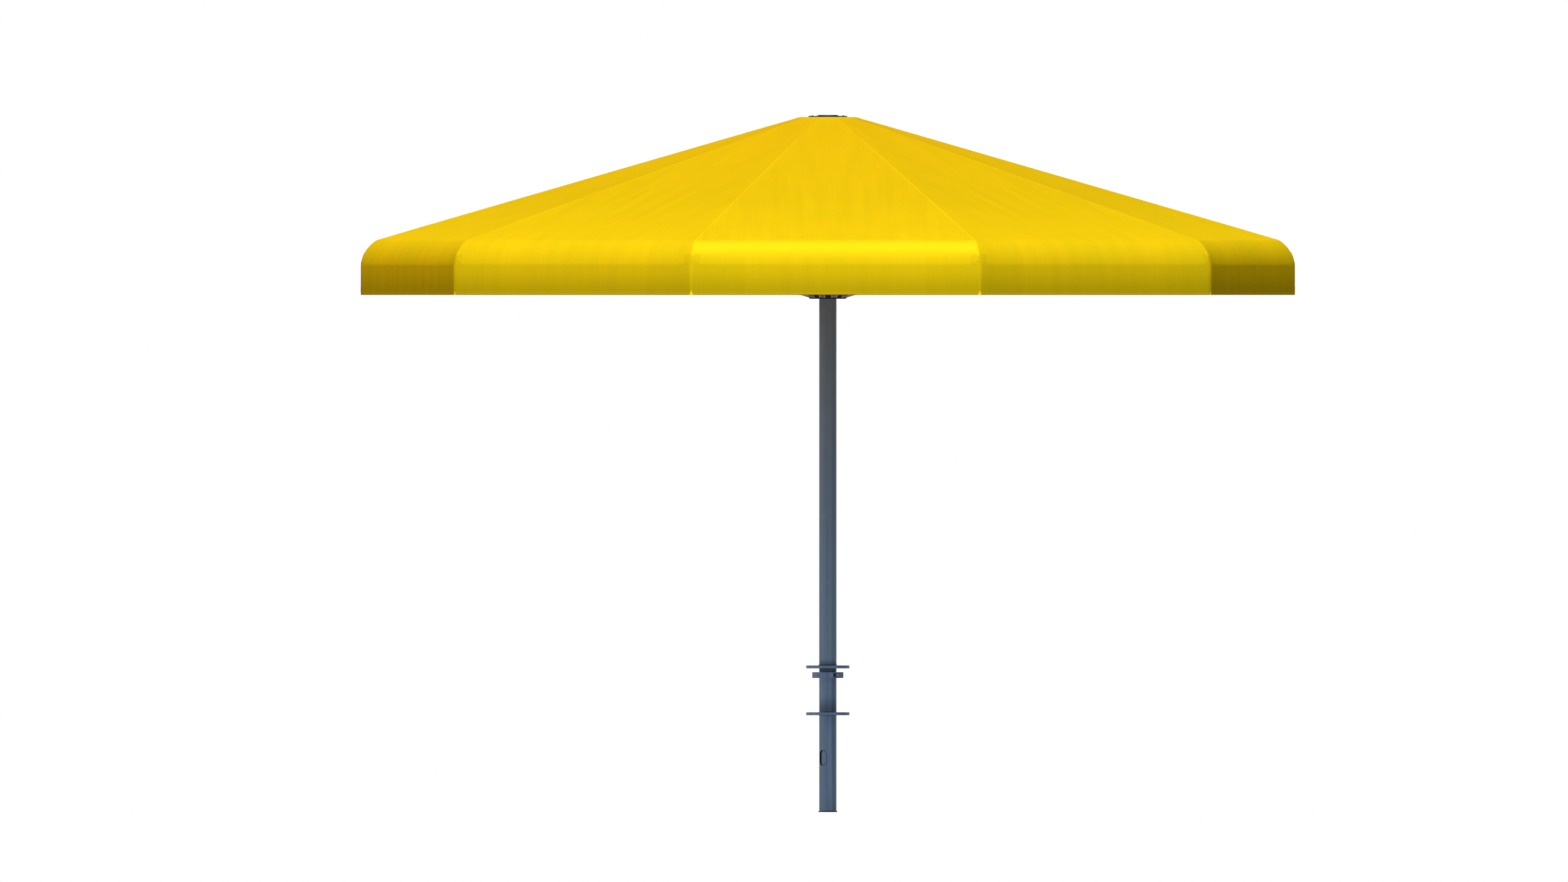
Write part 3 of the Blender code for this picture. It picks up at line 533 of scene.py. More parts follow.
# ---- objects and meshes
def new_object(name, data):
    made = bpy.data.objects.new(name, data)
    bpy.context.scene.collection.objects.link(made)
    return made


def rib_turn(k):
    """The turn about Z from a rib's own frame to the row frame."""
    return Matrix.Rotation(FIRST_BEARING + k * STEP - math.pi / 2, 4, "Z")


def finish_piece(bm, name, mat, body, matrix=None, smooth=35):
    """The bmesh as a piece that rides on a body."""
    if matrix is not None:
        bmesh.ops.transform(bm, matrix=matrix, verts=bm.verts)
    bmesh.ops.recalc_face_normals(bm, faces=bm.faces)
    mesh = bpy.data.meshes.new(name)
    bm.to_mesh(mesh)
    bm.free()
    mesh.materials.append(mat)
    mesh.shade_smooth()
    mesh.set_sharp_from_angle(angle=math.radians(smooth))
    piece = new_object(name, mesh)
    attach(piece, body)
    return piece


def circle(steps, start=0.0):
    """Even angles round a full turn."""
    return [2 * math.pi * (i + start) / steps for i in range(steps)]


def skin(bm, rows, ring=True, loop=False):
    """Quads between rows. A ring closes each row on itself, a loop joins the last row to the first."""
    made = []
    for one, other in zip(rows, rows[1:] + rows[:1] if loop else rows[1:]):
        for i in range(len(one) if ring else len(one) - 1):
            j = (i + 1) % len(one)
            made.append(bm.faces.new((one[i], one[j], other[j], other[i])))
    return made


def map_cloth(bm, places):
    """Gives each corner its place on the cloth and its distance from the rib, by vertex."""
    layers = bm.loops.layers.uv.new("cloth"), bm.loops.layers.uv.new("rib")
    for face in bm.faces:
        for loop in face.loops:
            for layer, value in zip(layers, places[loop.vert]):
                loop[layer].uv = value


def smoothstep(value):
    value = max(0.0, min(1.0, value))
    return value * value * (3 - 2 * value)


# ---- canopy
def roof_z(r):
    return TOP_Z - ROOF_SLOPE * (r - TOP_R)


def on_shoulder(angle):
    return ARC_CENTRE_R + SHOULDER_R * math.cos(angle), ARC_CENTRE_Z + SHOULDER_R * math.sin(angle)


def roof_stations():
    """The straight roof, with its doubled top hem standing a little proud."""
    reach = TOP_HEM * math.cos(PITCH)
    start, end = TOP_R + reach, EDGE_R - KINK * math.cos(PITCH)
    rows = [(TOP_R, 0.0), (TOP_R + 0.003, FOLD), (start - 0.001, FOLD), (start + 0.001, 0.0)]
    rows += [(start + (end - start) * i / ROOF_STEPS, 0.0) for i in range(1, ROOF_STEPS + 1)]
    return [Station(r, roof_z(r), out, (r - TOP_R) / (EDGE_R - TOP_R), ROOF_NORMAL) for r, out in rows]


def shoulder_station(up, out):
    """The crease at a distance up from the seam over the shoulder, or down from it where up is negative."""
    if up <= 0:
        return Station(CORNER_R, SEAM_Z + up, out, 1.0, 0.0)
    angle = SHOULDER_LOW + up / SHOULDER_R
    r, z = on_shoulder(angle)
    return Station(r, z, out, 1.0, angle)


def shoulder_stations():
    """The rounded fold below the roof, then the arc down to the seam."""
    inner = EDGE_R - KINK * math.cos(PITCH)
    low = SHOULDER_HIGH - KINK / SHOULDER_R
    first, middle, last = Vector((inner, roof_z(inner))), Vector((EDGE_R, EDGE_Z)), Vector(on_shoulder(low))
    stations = []
    for t in (0.25, 0.5, 0.75):
        r, z = first * (1 - t) ** 2 + middle * 2 * t * (1 - t) + last * t * t
        stations.append(Station(r, z, 0.0, 1.0, ROOF_NORMAL + (low - ROOF_NORMAL) * t))
    for i in range(ARC_STEPS):
        angle = low + (SHOULDER_LOW - low) * i / ARC_STEPS
        stations.append(Station(*on_shoulder(angle), 0.0, 1.0, angle))
    return stations


def profile():
    """The crease's stations from the top down to the hem."""
    stations = roof_stations() + shoulder_stations()
    stations += [shoulder_station(up, out) for up, out in SEAM_ROWS]
    reach = SEAM_Z - HEM_Z - HEM_BAND - VALANCE_START
    for i in range(VALANCE_STEPS + 1):
        stations.append(shoulder_station(-VALANCE_START - reach * i / VALANCE_STEPS, FOLD))
    return stations + [shoulder_station(HEM_Z - SEAM_Z + up, out) for up, out in HEM_ROWS]


def run_down(stations):
    """How far each station is down the middle of the panel."""
    total, runs = 0.0, [0.0]
    for one, other in zip(stations, stations[1:]):
        total += math.hypot((other.r - one.r) * math.cos(HALF), other.z - one.z)
        runs.append(total)
    return runs


def crease_round(z):
    """Half the width over which the cloth bends round the rib: tight on the roof, soft on the valance."""
    return CREASE_TIGHT + (CREASE_SOFT - CREASE_TIGHT) * smoothstep((EDGE_Z - z) / (EDGE_Z - SEAM_Z))


def hang(station, away):
    """How far the cloth lies below the flat panel: soft waves near the rib and a sag towards mid-panel."""
    if away <= STRIP:
        return 0.0
    width = max(station.r * BORDER - STRIP, 1e-9)
    c = min(1.0, (away - STRIP) / width)
    swell = width / (CORNER_R * BORDER - STRIP)
    wave = RIPPLE * swell * (0.5 - 0.5 * math.cos(2 * math.pi * RIPPLES * c)) * smoothstep(c * RIPPLES * 2)
    return wave + SAG * math.sin(math.pi * station.share) * math.sin(math.pi * c / 2) ** 2


def cloth_point(station, y):
    """A point of the outer face at a distance y from the rib's middle plane."""
    soft = crease_round(station.z)
    away = abs(y)
    fall = away if away >= soft else away * away / (2 * soft) + soft / 2
    lift = station.out - hang(station, away)
    if away < WELT_HALF:
        ends = smoothstep(station.share / WELT_START) * smoothstep((1 - station.share) / WELT_STOP)
        lift += WELT_HIGH * math.cos(math.pi / 2 * away / WELT_HALF) * ends
    out = Vector((math.cos(HALF), math.copysign(math.sin(HALF), y), 0.0)) if y else Vector((1.0, 0.0, 0.0))
    normal = out * math.cos(station.tilt) + Vector((0.0, 0.0, math.sin(station.tilt)))
    return Vector((station.r - fall * math.tan(HALF), y, station.z)) + normal * lift


def notched(station, y):
    """The station, lifted where the hem is cut away in a triangle at the corner."""
    top = SEAM_Z - NOTCH_REACH
    if station.z > top or abs(y) >= NOTCH_HALF:
        return station
    rise = NOTCH_HIGH * (1 - abs(y) / NOTCH_HALF)
    return station._replace(z=top - (top - station.z) * (top - HEM_Z - rise) / (top - HEM_Z))


def line_cloth(bm, outer, places, hem_v):
    """Gives the outer face its thickness: an inner face, a thicker hem, and the edges between the two."""
    inner = {}
    for vert in list(bm.verts):
        thick = CLOTH * (HEM_LAYERS if places[vert][0][1] > hem_v else 1.0)
        inner[vert] = bm.verts.new(vert.co - vert.normal * thick)
        places[inner[vert]] = places[vert]
    for face in outer:
        bm.faces.new([inner[v] for v in reversed(face.verts)])
    for edge in [e for e in bm.edges if len(e.link_faces) == 1 and e.verts[0] in inner]:
        a, b = edge.verts
        order = list(edge.link_faces[0].verts)
        if order[(order.index(a) + 1) % len(order)] != b:
            a, b = b, a
        bm.faces.new((b, a, inner[a], inner[b]))


def cloth_mesh(stations, runs, columns, notch=False):
    """A sheet of cloth as thick as CLOTH. columns gives each station's y values."""
    bm = bmesh.new()
    rows, places = [], {}
    for station, run in zip(stations, runs):
        row = []
        for y in columns(station):
            cut = notched(station, y) if notch else station
            vert = bm.verts.new(cloth_point(cut, y))
            across = (station.r * BORDER - abs(y)) / math.cos(HALF)
            places[vert] = (across, run - (cut.z - station.z)), (abs(y), vert.co.z)
            row.append(vert)
        rows.append(row)
    outer = skin(bm, rows, ring=False)
    bm.normal_update()
    if sum(face.normal.z for face in outer) < 0:
        bmesh.ops.reverse_faces(bm, faces=outer)
        bm.normal_update()
    line_cloth(bm, outer, places, runs[-1] - HEM_BAND)
    map_cloth(bm, places)
    bmesh.ops.remove_doubles(bm, verts=bm.verts, dist=MERGE_CLOTH)
    return bm


# ---- sewn pieces at each corner
def sewn_patch(middle, wide, high, rings, square, v):
    """A patch that follows the cloth. rings gives (share of its size, lift) from the middle outwards."""
    bm = bmesh.new()
    places = {}

    def put(share, turn, lift):
        c, s = math.cos(turn), math.sin(turn)
        y = wide * share * math.copysign(abs(c) ** (2 / square), c)
        up = middle + high * share * math.copysign(abs(s) ** (2 / square), s)
        vert = bm.verts.new(cloth_point(shoulder_station(up, lift), y))
        places[vert] = (y, v + up - middle), (PLAIN_BESIDE, vert.co.z)
        return vert

    rows = [[put(share, turn, lift) for turn in circle(PATCH_STEPS)] for share, lift in rings]
    skin(bm, rows)
    for row, lift in ((rows[0], rings[0][1]), (rows[-1], rings[-1][1])):
        hub = put(0.0, 0.0, lift)
        for i in range(PATCH_STEPS):
            bm.faces.new((hub, row[i], row[(i + 1) % PATCH_STEPS]))
    map_cloth(bm, places)
    return bm


def corner_tab(v):
    """The doubled tongue of cloth behind the notch in the hem."""
    bm = bmesh.new()
    places = {}
    grids = []
    for out in TAB_FACES:
        grid = []
        for i in range(TAB_ROWS + 1):
            up = HEM_Z + TAB_LIFT - SEAM_Z + TAB_HIGH * i / TAB_ROWS
            row = []
            for j in range(TAB_COLUMNS + 1):
                y = TAB_HALF * (2 * j / TAB_COLUMNS - 1)
                vert = bm.verts.new(cloth_point(shoulder_station(up, out), y))
                places[vert] = (y, v + up), (PLAIN_BESIDE, vert.co.z)
                row.append(vert)
            grid.append(row)
        grids.append(grid)
    for grid in grids:
        skin(bm, grid, ring=False)
    bmesh.ops.bridge_loops(bm, edges=[e for e in bm.edges if len(e.link_faces) == 1])
    map_cloth(bm, places)
    return bm


def pocket_ring(bm, places, angle, sink, shrink):
    """One loop of the rib's pocket. sink carries it from the arc down to the pocket's flat end."""
    row = []
    for y, cover in POCKET_SECTION:
        y *= 1 - shrink / POCKET_HALF
        cover = POCKET_MIDDLE + (cover - POCKET_MIDDLE) * (1 - shrink / POCKET_MIDDLE)
        reach = SHOULDER_R - cover
        r = ARC_CENTRE_R + reach * math.cos(angle)
        z = ARC_CENTRE_Z + reach * math.sin(angle)
        vert = bm.verts.new((r, y, z + (POCKET_END_Z - z) * sink))
        places[vert] = (y, vert.co.z), (PLAIN_BESIDE, vert.co.z)
        row.append(vert)
    return row


def rib_pocket():
    """The sleeve of cloth inside the shoulder that the rib's end slides into, open towards the crown."""
    arc = SHOULDER_LOW - POCKET_START
    stops = [(POCKET_START + arc * i / POCKET_STEPS, 0.0) for i in range(POCKET_STEPS + 1)]
    stops += [(SHOULDER_LOW, 0.5), (SHOULDER_LOW, 0.85)]
    bm = bmesh.new()
    places = {}
    outer = [pocket_ring(bm, places, angle, sink, 0.0) for angle, sink in stops]
    outer.append(pocket_ring(bm, places, SHOULDER_LOW, 1.0, POCKET_TIP))
    inner = [pocket_ring(bm, places, angle, sink, CLOTH) for angle, sink in stops]
    skin(bm, outer)
    skin(bm, inner)
    skin(bm, [outer[0], inner[0]])
    bm.faces.new(outer[-1])
    bm.faces.new(inner[-1])
    map_cloth(bm, places)
    return bm


def rib_straps():
    """The straps that tie the roof down to its rib, each one a loop round the box section."""
    bm = bmesh.new()
    places = {}
    turns = circle(STRAP_STEPS, 0.5)
    for distance in STRAP_PLACES:
        middle = ROOF_TOP + DOWN_ROOF * distance - OFF_ROOF * (RIB_COVER + RIB_DEPTH / 2)
        rings = []
        for grow, side in ((0.0, -1), (STRAP_THICK, -1), (STRAP_THICK, 1), (0.0, 1)):
            ring = []
            for turn in turns:
                c, s = math.cos(turn), math.sin(turn)
                y = (STRAP_HALF_WIDE + grow) * math.copysign(abs(c) ** STRAP_CORNER, c)
                up = (STRAP_HALF_HIGH + grow) * math.copysign(abs(s) ** STRAP_CORNER, s)
                place = middle + DOWN_ROOF * side * STRAP_HALF_BAND + OFF_ROOF * up + ACROSS * y
                ring.append(bm.verts.new(place))
                places[ring[-1]] = (side * STRAP_HALF_BAND, turn * STRAP_RUN), (PLAIN_BESIDE, 0.0)
            rings.append(ring)
        skin(bm, rings, loop=True)
    map_cloth(bm, places)
    return bm


def flat_area(stations, runs, width):
    """The area of a piece of cloth laid flat. width gives how far it reaches across the rib at a radius."""
    total = 0.0
    for i in range(len(stations) - 1):
        middle = (width(stations[i].r) + width(stations[i + 1].r)) / 2
        total += middle / math.cos(HALF) * (runs[i + 1] - runs[i])
    return total


def leaf_columns(sign):
    """Even columns from the strip's border to mid-panel, on one side of the rib."""
    def columns(station):
        edge = max(station.r * BORDER, STRIP)
        return [sign * (STRIP + (edge - STRIP) * j / LEAF_COLUMNS) for j in range(LEAF_COLUMNS + 1)]
    return columns


def sew_corner(k, cloths, seam_v):
    """The small sewn pieces over and under one corner, and the straps along its rib."""
    number, turn = f"{k + 1:02d}", rib_turn(k)
    plain_v = seam_v - PLAIN_RUN
    made = (
        ("corner_spot_", sewn_patch(*SPOT, SPOT_RINGS, SPOT_SQUARE, plain_v), cloths["pale"]),
        ("corner_patch_", sewn_patch(*PATCH, PATCH_RINGS, PATCH_SQUARE, plain_v), cloths["dark"]),
        # painted light: the tab glows brighter than the cloth round it
        ("corner_tab_", corner_tab(plain_v), cloths["painted_glow"]),
        ("rib_pocket_", rib_pocket(), cloths["plain"]),
        ("rib_straps_", rib_straps(), cloths["plain"]),
    )
    body = "rib_arm_" + number
    return [finish_piece(bm, name + number, mat, body, turn) for name, bm, mat in made]


def build_canopy(cloths, stations, runs, seam_v):
    """Each gore as a strip on its rib and two leaves, all riding on the rib's body."""
    strip_y = [-y for y in STRIP_COLUMNS[::-1]] + [0.0] + list(STRIP_COLUMNS)
    strip_area = flat_area(stations, runs, lambda r: 2 * STRIP)
    leaf_area = flat_area(stations, runs, lambda r: r * BORDER - STRIP)
    for k in range(RIBS):
        number = f"{k + 1:02d}"
        body, gore, rib, turn = "rib_arm_" + number, "canopy_gore_" + number, "rib_" + number, rib_turn(k)
        strip = finish_piece(
            cloth_mesh(stations, runs, lambda station: strip_y, notch=True),
            "canopy_strip_" + number, cloths["plain"], body, turn,
        )
        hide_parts(gore)
        sew_corner(k, cloths, seam_v)
        for side, sign in (("left", -1), ("right", 1)):
            leaf = finish_piece(
                cloth_mesh(stations, runs, leaf_columns(sign)),
                f"canopy_leaf_{side}_{number}", cloths["plain"], body, turn,
            )
            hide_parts(gore)
            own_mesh(leaf)


# ---- metal finish on the CAD nodes
def surface_group():
    """Welds the imported triangles together and shades round faces smooth."""
    group = bpy.data.node_groups.new("cad_surface", "GeometryNodeTree")
    group.interface.new_socket("Geometry", in_out="INPUT", socket_type="NodeSocketGeometry")
    group.interface.new_socket("Geometry", in_out="OUTPUT", socket_type="NodeSocketGeometry")
    nodes, links = group.nodes, group.links
    source, result = nodes.new("NodeGroupInput"), nodes.new("NodeGroupOutput")
    merge = nodes.new("GeometryNodeMergeByDistance")
    merge.inputs["Distance"].default_value = MERGE_CAD
    angle = nodes.new("GeometryNodeInputMeshEdgeAngle")
    sharp = nodes.new("FunctionNodeCompare")
    sharp.data_type = "FLOAT"
    sharp.operation = "GREATER_THAN"
    sharp.inputs["B"].default_value = SOFT_EDGE
    normal = nodes.new("GeometryNodeSetMeshNormal")
    normal.inputs["Remove Custom"].default_value = True
    links.new(source.outputs[0], merge.inputs[0])
    links.new(merge.outputs[0], normal.inputs[0])
    links.new(angle.outputs["Unsigned Angle"], sharp.inputs["A"])
    links.new(sharp.outputs[0], normal.inputs["Edge Sharpness"])
    links.new(normal.outputs[0], result.inputs[0])
    return group


def dress(name, mat, group, bevel):
    """A CAD node gets its material and softened edges; its mesh stays as it is."""
    obj = NODES[name]
    obj.data.materials.clear()
    obj.data.materials.append(mat)
    obj.modifiers.new("surface", "NODES").node_group = group
    planar = obj.modifiers.new("planar", "DECIMATE")
    planar.decimate_type = "DISSOLVE"
    planar.angle_limit = math.radians(1)
    edges = obj.modifiers.new("edges", "BEVEL")
    edges.width = bevel
    edges.segments = 2
    edges.limit_method = "ANGLE"
    edges.angle_limit = SOFT_EDGE
    edges.harden_normals = True


def build_metals():
    """Every CAD node's finish, by the start of its name."""
    group = surface_group()
    metals = {name: metal_material(name, metal) for name, metal in METALS.items()}
    for name in sorted(NODES):
        if not name.startswith("canopy_gore"):
            metal, bevel = FINISHES[name.rstrip("0123456789").rstrip("_")]
            dress(name, metals[metal], group, bevel)
    return metals


# ---- fasteners, welds and seals
def lathe(bm, outline, steps, matrix, ring=False):
    """A body turned about the matrix's Z from (radius, height) points, from axis to axis or as a ring."""
    rows = []
    for r, z in outline:
        turns = circle(steps if r else 1)
        rows.append([bm.verts.new(matrix @ Vector((r * math.cos(a), r * math.sin(a), z))) for a in turns])
    for one, other in zip(rows, rows[1:] + rows[:1] if ring else rows[1:]):
        for i in range(steps):
            j = (i + 1) % steps
            corners = (one[i % len(one)], one[j % len(one)], other[j % len(other)], other[i % len(other)])
            bm.faces.new(list(dict.fromkeys(corners)))


def button_head(bm, matrix, radius, high):
    """A domed screw head with a socket, standing on the matrix's XY plane."""
    outline = [
        (0.0, -ROOTED), (radius, -ROOTED), (radius, 0.15 * high), (0.94 * radius, 0.45 * high),
        (0.78 * radius, 0.8 * high), (0.52 * radius, high), (0.46 * radius, high),
        (0.43 * radius, 0.35 * high), (0.0, 0.3 * high),
    ]
    lathe(bm, outline, HEAD_STEPS, matrix)


def domed_rivet(bm, matrix, radius, high):
    """A round head without a socket, a quarter of an ellipse in section."""
    turns = [math.pi / 2 * i / RIVET_ROWS for i in range(RIVET_ROWS)]
    dome = [(radius * math.cos(turn), high * math.sin(turn)) for turn in turns]
    lathe(bm, [(0.0, -ROOTED), (radius, -ROOTED), *dome, (0.0, high)], RIVET_STEPS, matrix)


def aimed(point, direction):
    """The matrix that stands at a point with its Z along a direction."""
    return Matrix.Translation(point) @ Vector(direction).to_track_quat("Z", "Y").to_matrix().to_4x4()


def weld_bead(bm, z, upward):
    """A fillet weld round the sleeve, with the ripples of a hand-laid bead."""
    rows = []
    for angle in circle(WELD_STEPS):
        ripple = 1 + 0.09 * math.sin(angle * WELD_RIPPLES) + 0.05 * math.sin(angle * 5 + z * 40)
        size = WELD_SIZE * ripple
        section = (
            (-WELD_ROOT, 0.0), (size, 0.0), (0.62 * size, 0.30 * size), (0.30 * size, 0.62 * size),
            (0.0, size), (-WELD_ROOT, size),
        )
        c, s = math.cos(angle), math.sin(angle)
        rows.append([bm.verts.new(((MAST_R + r) * c, (MAST_R + r) * s, z + upward * h)) for r, h in section])
    skin(bm, rows, loop=True)


def slot_path():
    """The cable slot's outline on the sleeve's round face: a half circle at each end."""
    half = SLOT_WIDTH / 2 - TRIM_R * 0.5
    low, high = SLOT_Z
    path = []
    for middle, start in ((high - half - TRIM_R, 0.0), (low + half + TRIM_R, math.pi)):
        for i in range(TRIM_STEPS + 1):
            angle = start + math.pi * i / TRIM_STEPS
            y = half * math.cos(angle)
            path.append(Vector((math.sqrt(MAST_R ** 2 - y * y), y, middle + half * math.sin(angle))))
    return path


def slot_trim():
    """The thin rubber edging round the cable slot."""
    bm = bmesh.new()
    path = slot_path()
    turns = circle(TRIM_SIDES)
    rows = []
    for i, point in enumerate(path):
        along = (path[(i + 1) % len(path)] - path[i - 1]).normalized()
        out = Vector((point.x, point.y, 0.0)).normalized()
        aside = along.cross(out).normalized()
        rows.append([bm.verts.new(point + (out * math.cos(a) + aside * math.sin(a)) * TRIM_R) for a in turns])
    skin(bm, rows, loop=True)
    return bm


def crown_screws(metals):
    """The screws between the ribs on the crown, and the set screws that hold it on the mast."""
    bm = bmesh.new()
    for k in range(RIBS):
        bearing = FIRST_BEARING + (k + 0.5) * STEP
        place = (CROWN_SCREW_R * math.sin(bearing), -CROWN_SCREW_R * math.cos(bearing), CROWN_TOP_Z)
        button_head(bm, Matrix.Translation(place), *CROWN_SCREW)
    for k in range(SET_SCREWS):
        bearing = FIRST_BEARING + (k + 0.5) * 2 * math.pi / SET_SCREWS
        out = Vector((math.sin(bearing), -math.cos(bearing), 0.0))
        button_head(bm, aimed(out * CROWN_SLEEVE_R + Vector((0.0, 0.0, SET_SCREW_Z)), out), *SET_SCREW)
    finish_piece(bm, "crown_screws", metals["crown_cast"], "mast")


def sleeve_details(metals):
    """The weld beads at the sleeve's plates, and the rubber at the cover plate and the cable slot."""
    welds = bmesh.new()
    for z, upward in ((ANCHOR_TOP_Z, 1), (ANCHOR_LOW_Z, -1), (BASE_TOP_Z, 1)):
        weld_bead(welds, z, upward)
    finish_piece(welds, "sleeve_welds", metals["sleeve_steel"], "mast", smooth=60)

    seal = bmesh.new()
    outline = [(MAST_R + past, above) for past, above in SEAL]
    lathe(seal, outline, SEAL_STEPS, Matrix.Translation((0.0, 0.0, COVER_TOP_Z)), ring=True)
    finish_piece(seal, "cover_seal", metals["bush_polymer"], "mast", smooth=60)
    turn = Matrix.Rotation(SLOT_BEARING - math.pi / 2, 4, "Z")
    finish_piece(slot_trim(), "slot_trim", metals["bush_polymer"], "mast", turn, smooth=60)


def slider_pins(metals):
    """The pins that the struts' lower eyes turn on."""
    end, edge = PIN_HALF, PIN_R - PIN_CHAMFER
    outline = [(0.0, -end), (edge, -end), (PIN_R, -end + PIN_CHAMFER)]
    outline += [(PIN_R, end - PIN_CHAMFER), (edge, end), (0.0, end)]
    bm = bmesh.new()
    for k in range(RIBS):
        lathe(bm, outline, HEAD_STEPS, rib_turn(k) @ aimed(SLIDER_PIVOT, ACROSS))
    finish_piece(bm, "slider_pins", metals["drive_steel"], "slider")


def rib_fasteners(k, metals):
    """Rivets at the crown end of a rib and the screws under its bracket's foot."""
    number, turn = f"{k + 1:02d}", rib_turn(k)
    bm = bmesh.new()
    for along in RIVETS_ALONG:
        for up in RIVETS_UP:
            for side in (-1.0, 1.0):
                place = CROWN_PIVOT + DOWN_ROOF * along + OFF_ROOF * up + ACROSS * side * RIB_HALF
                domed_rivet(bm, turn @ aimed(place, ACROSS * side), *RIVET)
    foot = (ROOF_TOP - BRACKET_PIVOT).dot(OFF_ROOF) - RIB_COVER - RIB_DEPTH - BRACKET_FOOT
    for along in FOOT_SCREWS_ALONG:
        for aside in FOOT_SCREWS_ASIDE:
            place = BRACKET_PIVOT + DOWN_ROOF * along + OFF_ROOF * foot + ACROSS * aside
            button_head(bm, turn @ aimed(place, -OFF_ROOF), *FOOT_SCREW)
    finish_piece(bm, "rib_fasteners_" + number, metals["drive_steel"], "rib_arm_" + number)


def strut_ends(k, metals):
    """The collars that close the strut's tube at both ends, and the caps of its upper pin."""
    number, turn = f"{k + 1:02d}", rib_turn(k)
    along = (SLIDER_PIVOT - BRACKET_PIVOT).normalized()
    inner, outer = STRUT_R - 0.0002, STRUT_R + COLLAR_THICK
    outline = [(inner, 0.0), (outer - 0.001, 0.0), (outer, 0.001), (outer, COLLAR - 0.003)]
    outline += [(outer - 0.0012, COLLAR), (inner, COLLAR)]
    collars, caps = bmesh.new(), bmesh.new()
    for place, way in (
        (BRACKET_PIVOT + along * STRUT_UPPER_CUT, along), (SLIDER_PIVOT - along * STRUT_LOWER_CUT, -along),
    ):
        lathe(collars, outline, COLLAR_STEPS, turn @ aimed(place, way), ring=True)
    for side in (-1.0, 1.0):
        place = BRACKET_PIVOT + ACROSS * side * CHEEK_FACE
        lathe(caps, PIN_CAP, HEAD_STEPS, turn @ aimed(place, ACROSS * side))
    body = "strut_arm_" + number
    finish_piece(collars, "strut_collars_" + number, metals["strut_aluminium"], body)
    finish_piece(caps, "strut_pin_caps_" + number, metals["drive_steel"], body)


def build_details(metals):
    crown_screws(metals)
    sleeve_details(metals)
    slider_pins(metals)
    for k in range(RIBS):
        rib_fasteners(k, metals)
        strut_ends(k, metals)


# ---- camera, light and floor
def build_camera():
    """Square from the side, as if from very far away."""
    right = Vector((math.cos(CAMERA_TURN), math.sin(CAMERA_TURN), 0.0))
    back = Vector((math.sin(CAMERA_TURN), -math.cos(CAMERA_TURN), 0.0))
    lens = bpy.data.cameras.new("camera")
    lens.type = "ORTHO"
    lens.ortho_scale = CAMERA_WIDTH
    camera = new_object("camera", lens)
    camera.location = right * CAMERA_ASIDE + back * CAMERA_AWAY + Vector((0.0, 0.0, CAMERA_Z))
    camera.rotation_euler = (math.pi / 2, 0.0, CAMERA_TURN)
    bpy.context.scene.camera = camera
    bpy.context.scene.view_settings.view_transform = "Standard"


def build_floor():
    """A pale floor that reaches past every view's horizon and throws little light back up."""
    bm = bmesh.new()
    bmesh.ops.create_grid(bm, x_segments=2, y_segments=2, size=FLOOR_HALF)
    mesh = bpy.data.meshes.new("floor")
    bm.to_mesh(mesh)
    bm.free()
    made, tree, output, shader = new_material("floor")
    place = node(tree, "TexCoord").outputs["Object"]
    shade = mapped(tree, noise(tree, place, 0.6, 2.0), 0.2, 0.8, 0.0, 1.0)
    pale = tint(tree, shade, (0.81, 0.78, 0.87, 1), (0.83, 0.80, 0.89, 1))
    path = node(tree, "LightPath").outputs
    unseen = tint(tree, path["Is Glossy Ray"], (0.04, 0.015, 0.005, 1), (0.35, 0.35, 0.36, 1))
    feed(tree, shader, {"Base Color": tint(tree, path["Is Camera Ray"], unseen, pale), "Roughness": 0.8})
    feed(tree, output, {"Surface": shader.outputs[0]})
    mesh.materials.append(made)
    floor = new_object("floor", mesh)
    floor.location.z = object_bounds()[0].z - 0.0005


def studio_walls(tree, way):
    """What polished metal sees round the studio, by bearing from the front: softboxes and the dark gap."""
    turned = maths(tree, "ARCTAN2", way.outputs[0], times(tree, way.outputs[1], -1.0))
    around = mapped(tree, turned, -math.pi, math.pi, 0.0, 1.0, "LINEAR")
    return ramp(tree, around, [(0.5 + bearing / 360, (*light, 1)) for bearing, *light in WALLS])


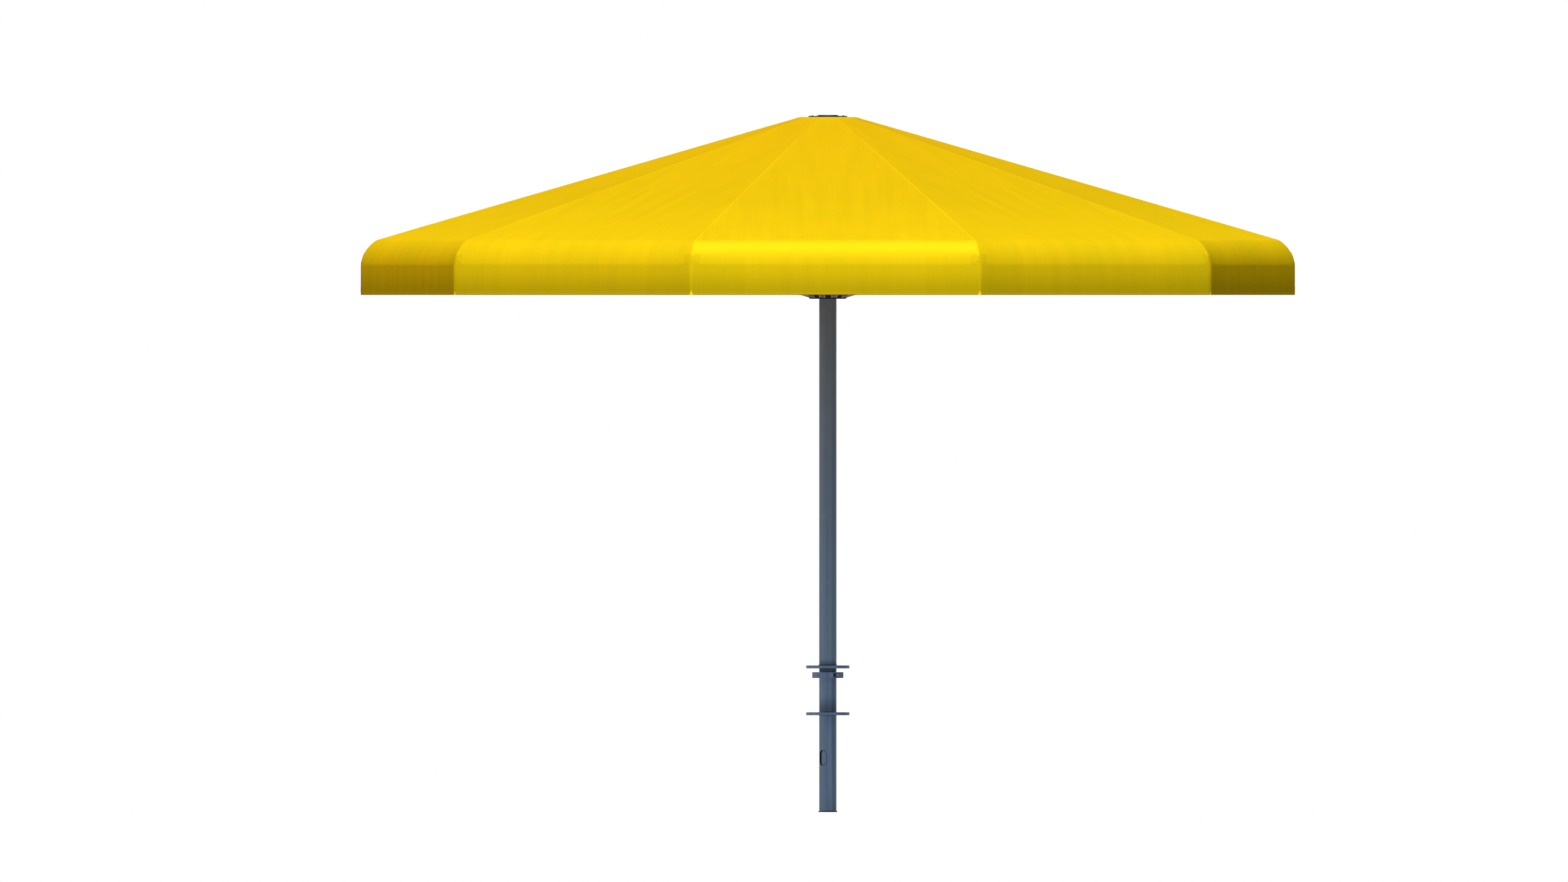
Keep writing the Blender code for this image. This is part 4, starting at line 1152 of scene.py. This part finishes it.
def build_world():
    """White to the camera, the walls to polished metal, and a dim warm room to everything else."""
    world = bpy.data.worlds.new("studio")
    world.use_nodes = True
    world.cycles.sampling_method = "NONE"
    bpy.context.scene.world = world
    tree = world.node_tree
    tree.nodes.clear()
    way = node(tree, "SeparateXYZ", {0: node(tree, "TexCoord").outputs["Generated"]})
    side = mapped(tree, way.outputs[0], -1.0, 0.2, 0.0, 1.0)
    height = mapped(tree, way.outputs[2], 0.0, 1.0, 0.0, 1.0)
    sides = tint(tree, side, (0.36, 0.05, 0.01, 1), (0.02, 0.008, 0.003, 1))
    room = tint(tree, height, sides, (0.10, 0.06, 0.03, 1))
    shine = tint(tree, height, studio_walls(tree, way), (0.22, 0.22, 0.23, 1))
    path = node(tree, "LightPath").outputs
    dim = tint(tree, path["Is Glossy Ray"], room, shine)
    inside = node(tree, "Background", {"Color": dim, "Strength": 1.0}).outputs[0]
    white = node(tree, "Background", {"Color": (1, 1, 1, 1), "Strength": 1.0}).outputs[0]
    mix = node(tree, "MixShader", {0: path["Is Camera Ray"], 1: inside, 2: white})
    node(tree, "OutputWorld", {"Surface": mix.outputs[0]})


def build_lamps():
    """A sun for each lamp. It lights either the matt part of a surface or only its shine."""
    for name, azimuth, elevation, power, spread, colour, diffuse, gloss in LAMPS:
        lamp = bpy.data.lights.new(name, "SUN")
        lamp.energy = power
        lamp.angle = math.radians(spread)
        lamp.color = colour
        light = new_object(name, lamp)
        a, e = math.radians(azimuth), math.radians(elevation)
        towards = Vector((math.sin(a) * math.cos(e), -math.cos(a) * math.cos(e), math.sin(e)))
        light.rotation_mode = "QUATERNION"
        light.rotation_quaternion = towards.to_track_quat("Z", "Y")
        light.location = towards * 8
        light.visible_diffuse = diffuse
        light.visible_glossy = gloss


def main():
    build_camera()
    build_floor()
    build_world()
    build_lamps()
    stations = profile()
    runs = run_down(stations)
    seam_v = next(run for run, station in zip(runs, stations) if station.z <= SEAM_Z)
    cloths = {
        name: fabric_material("canopy_cloth_" + name, shade, seam_v, runs[-1]) for name, shade in SHADES
    }
    build_canopy(cloths, stations, runs, seam_v)
    build_details(build_metals())


main()
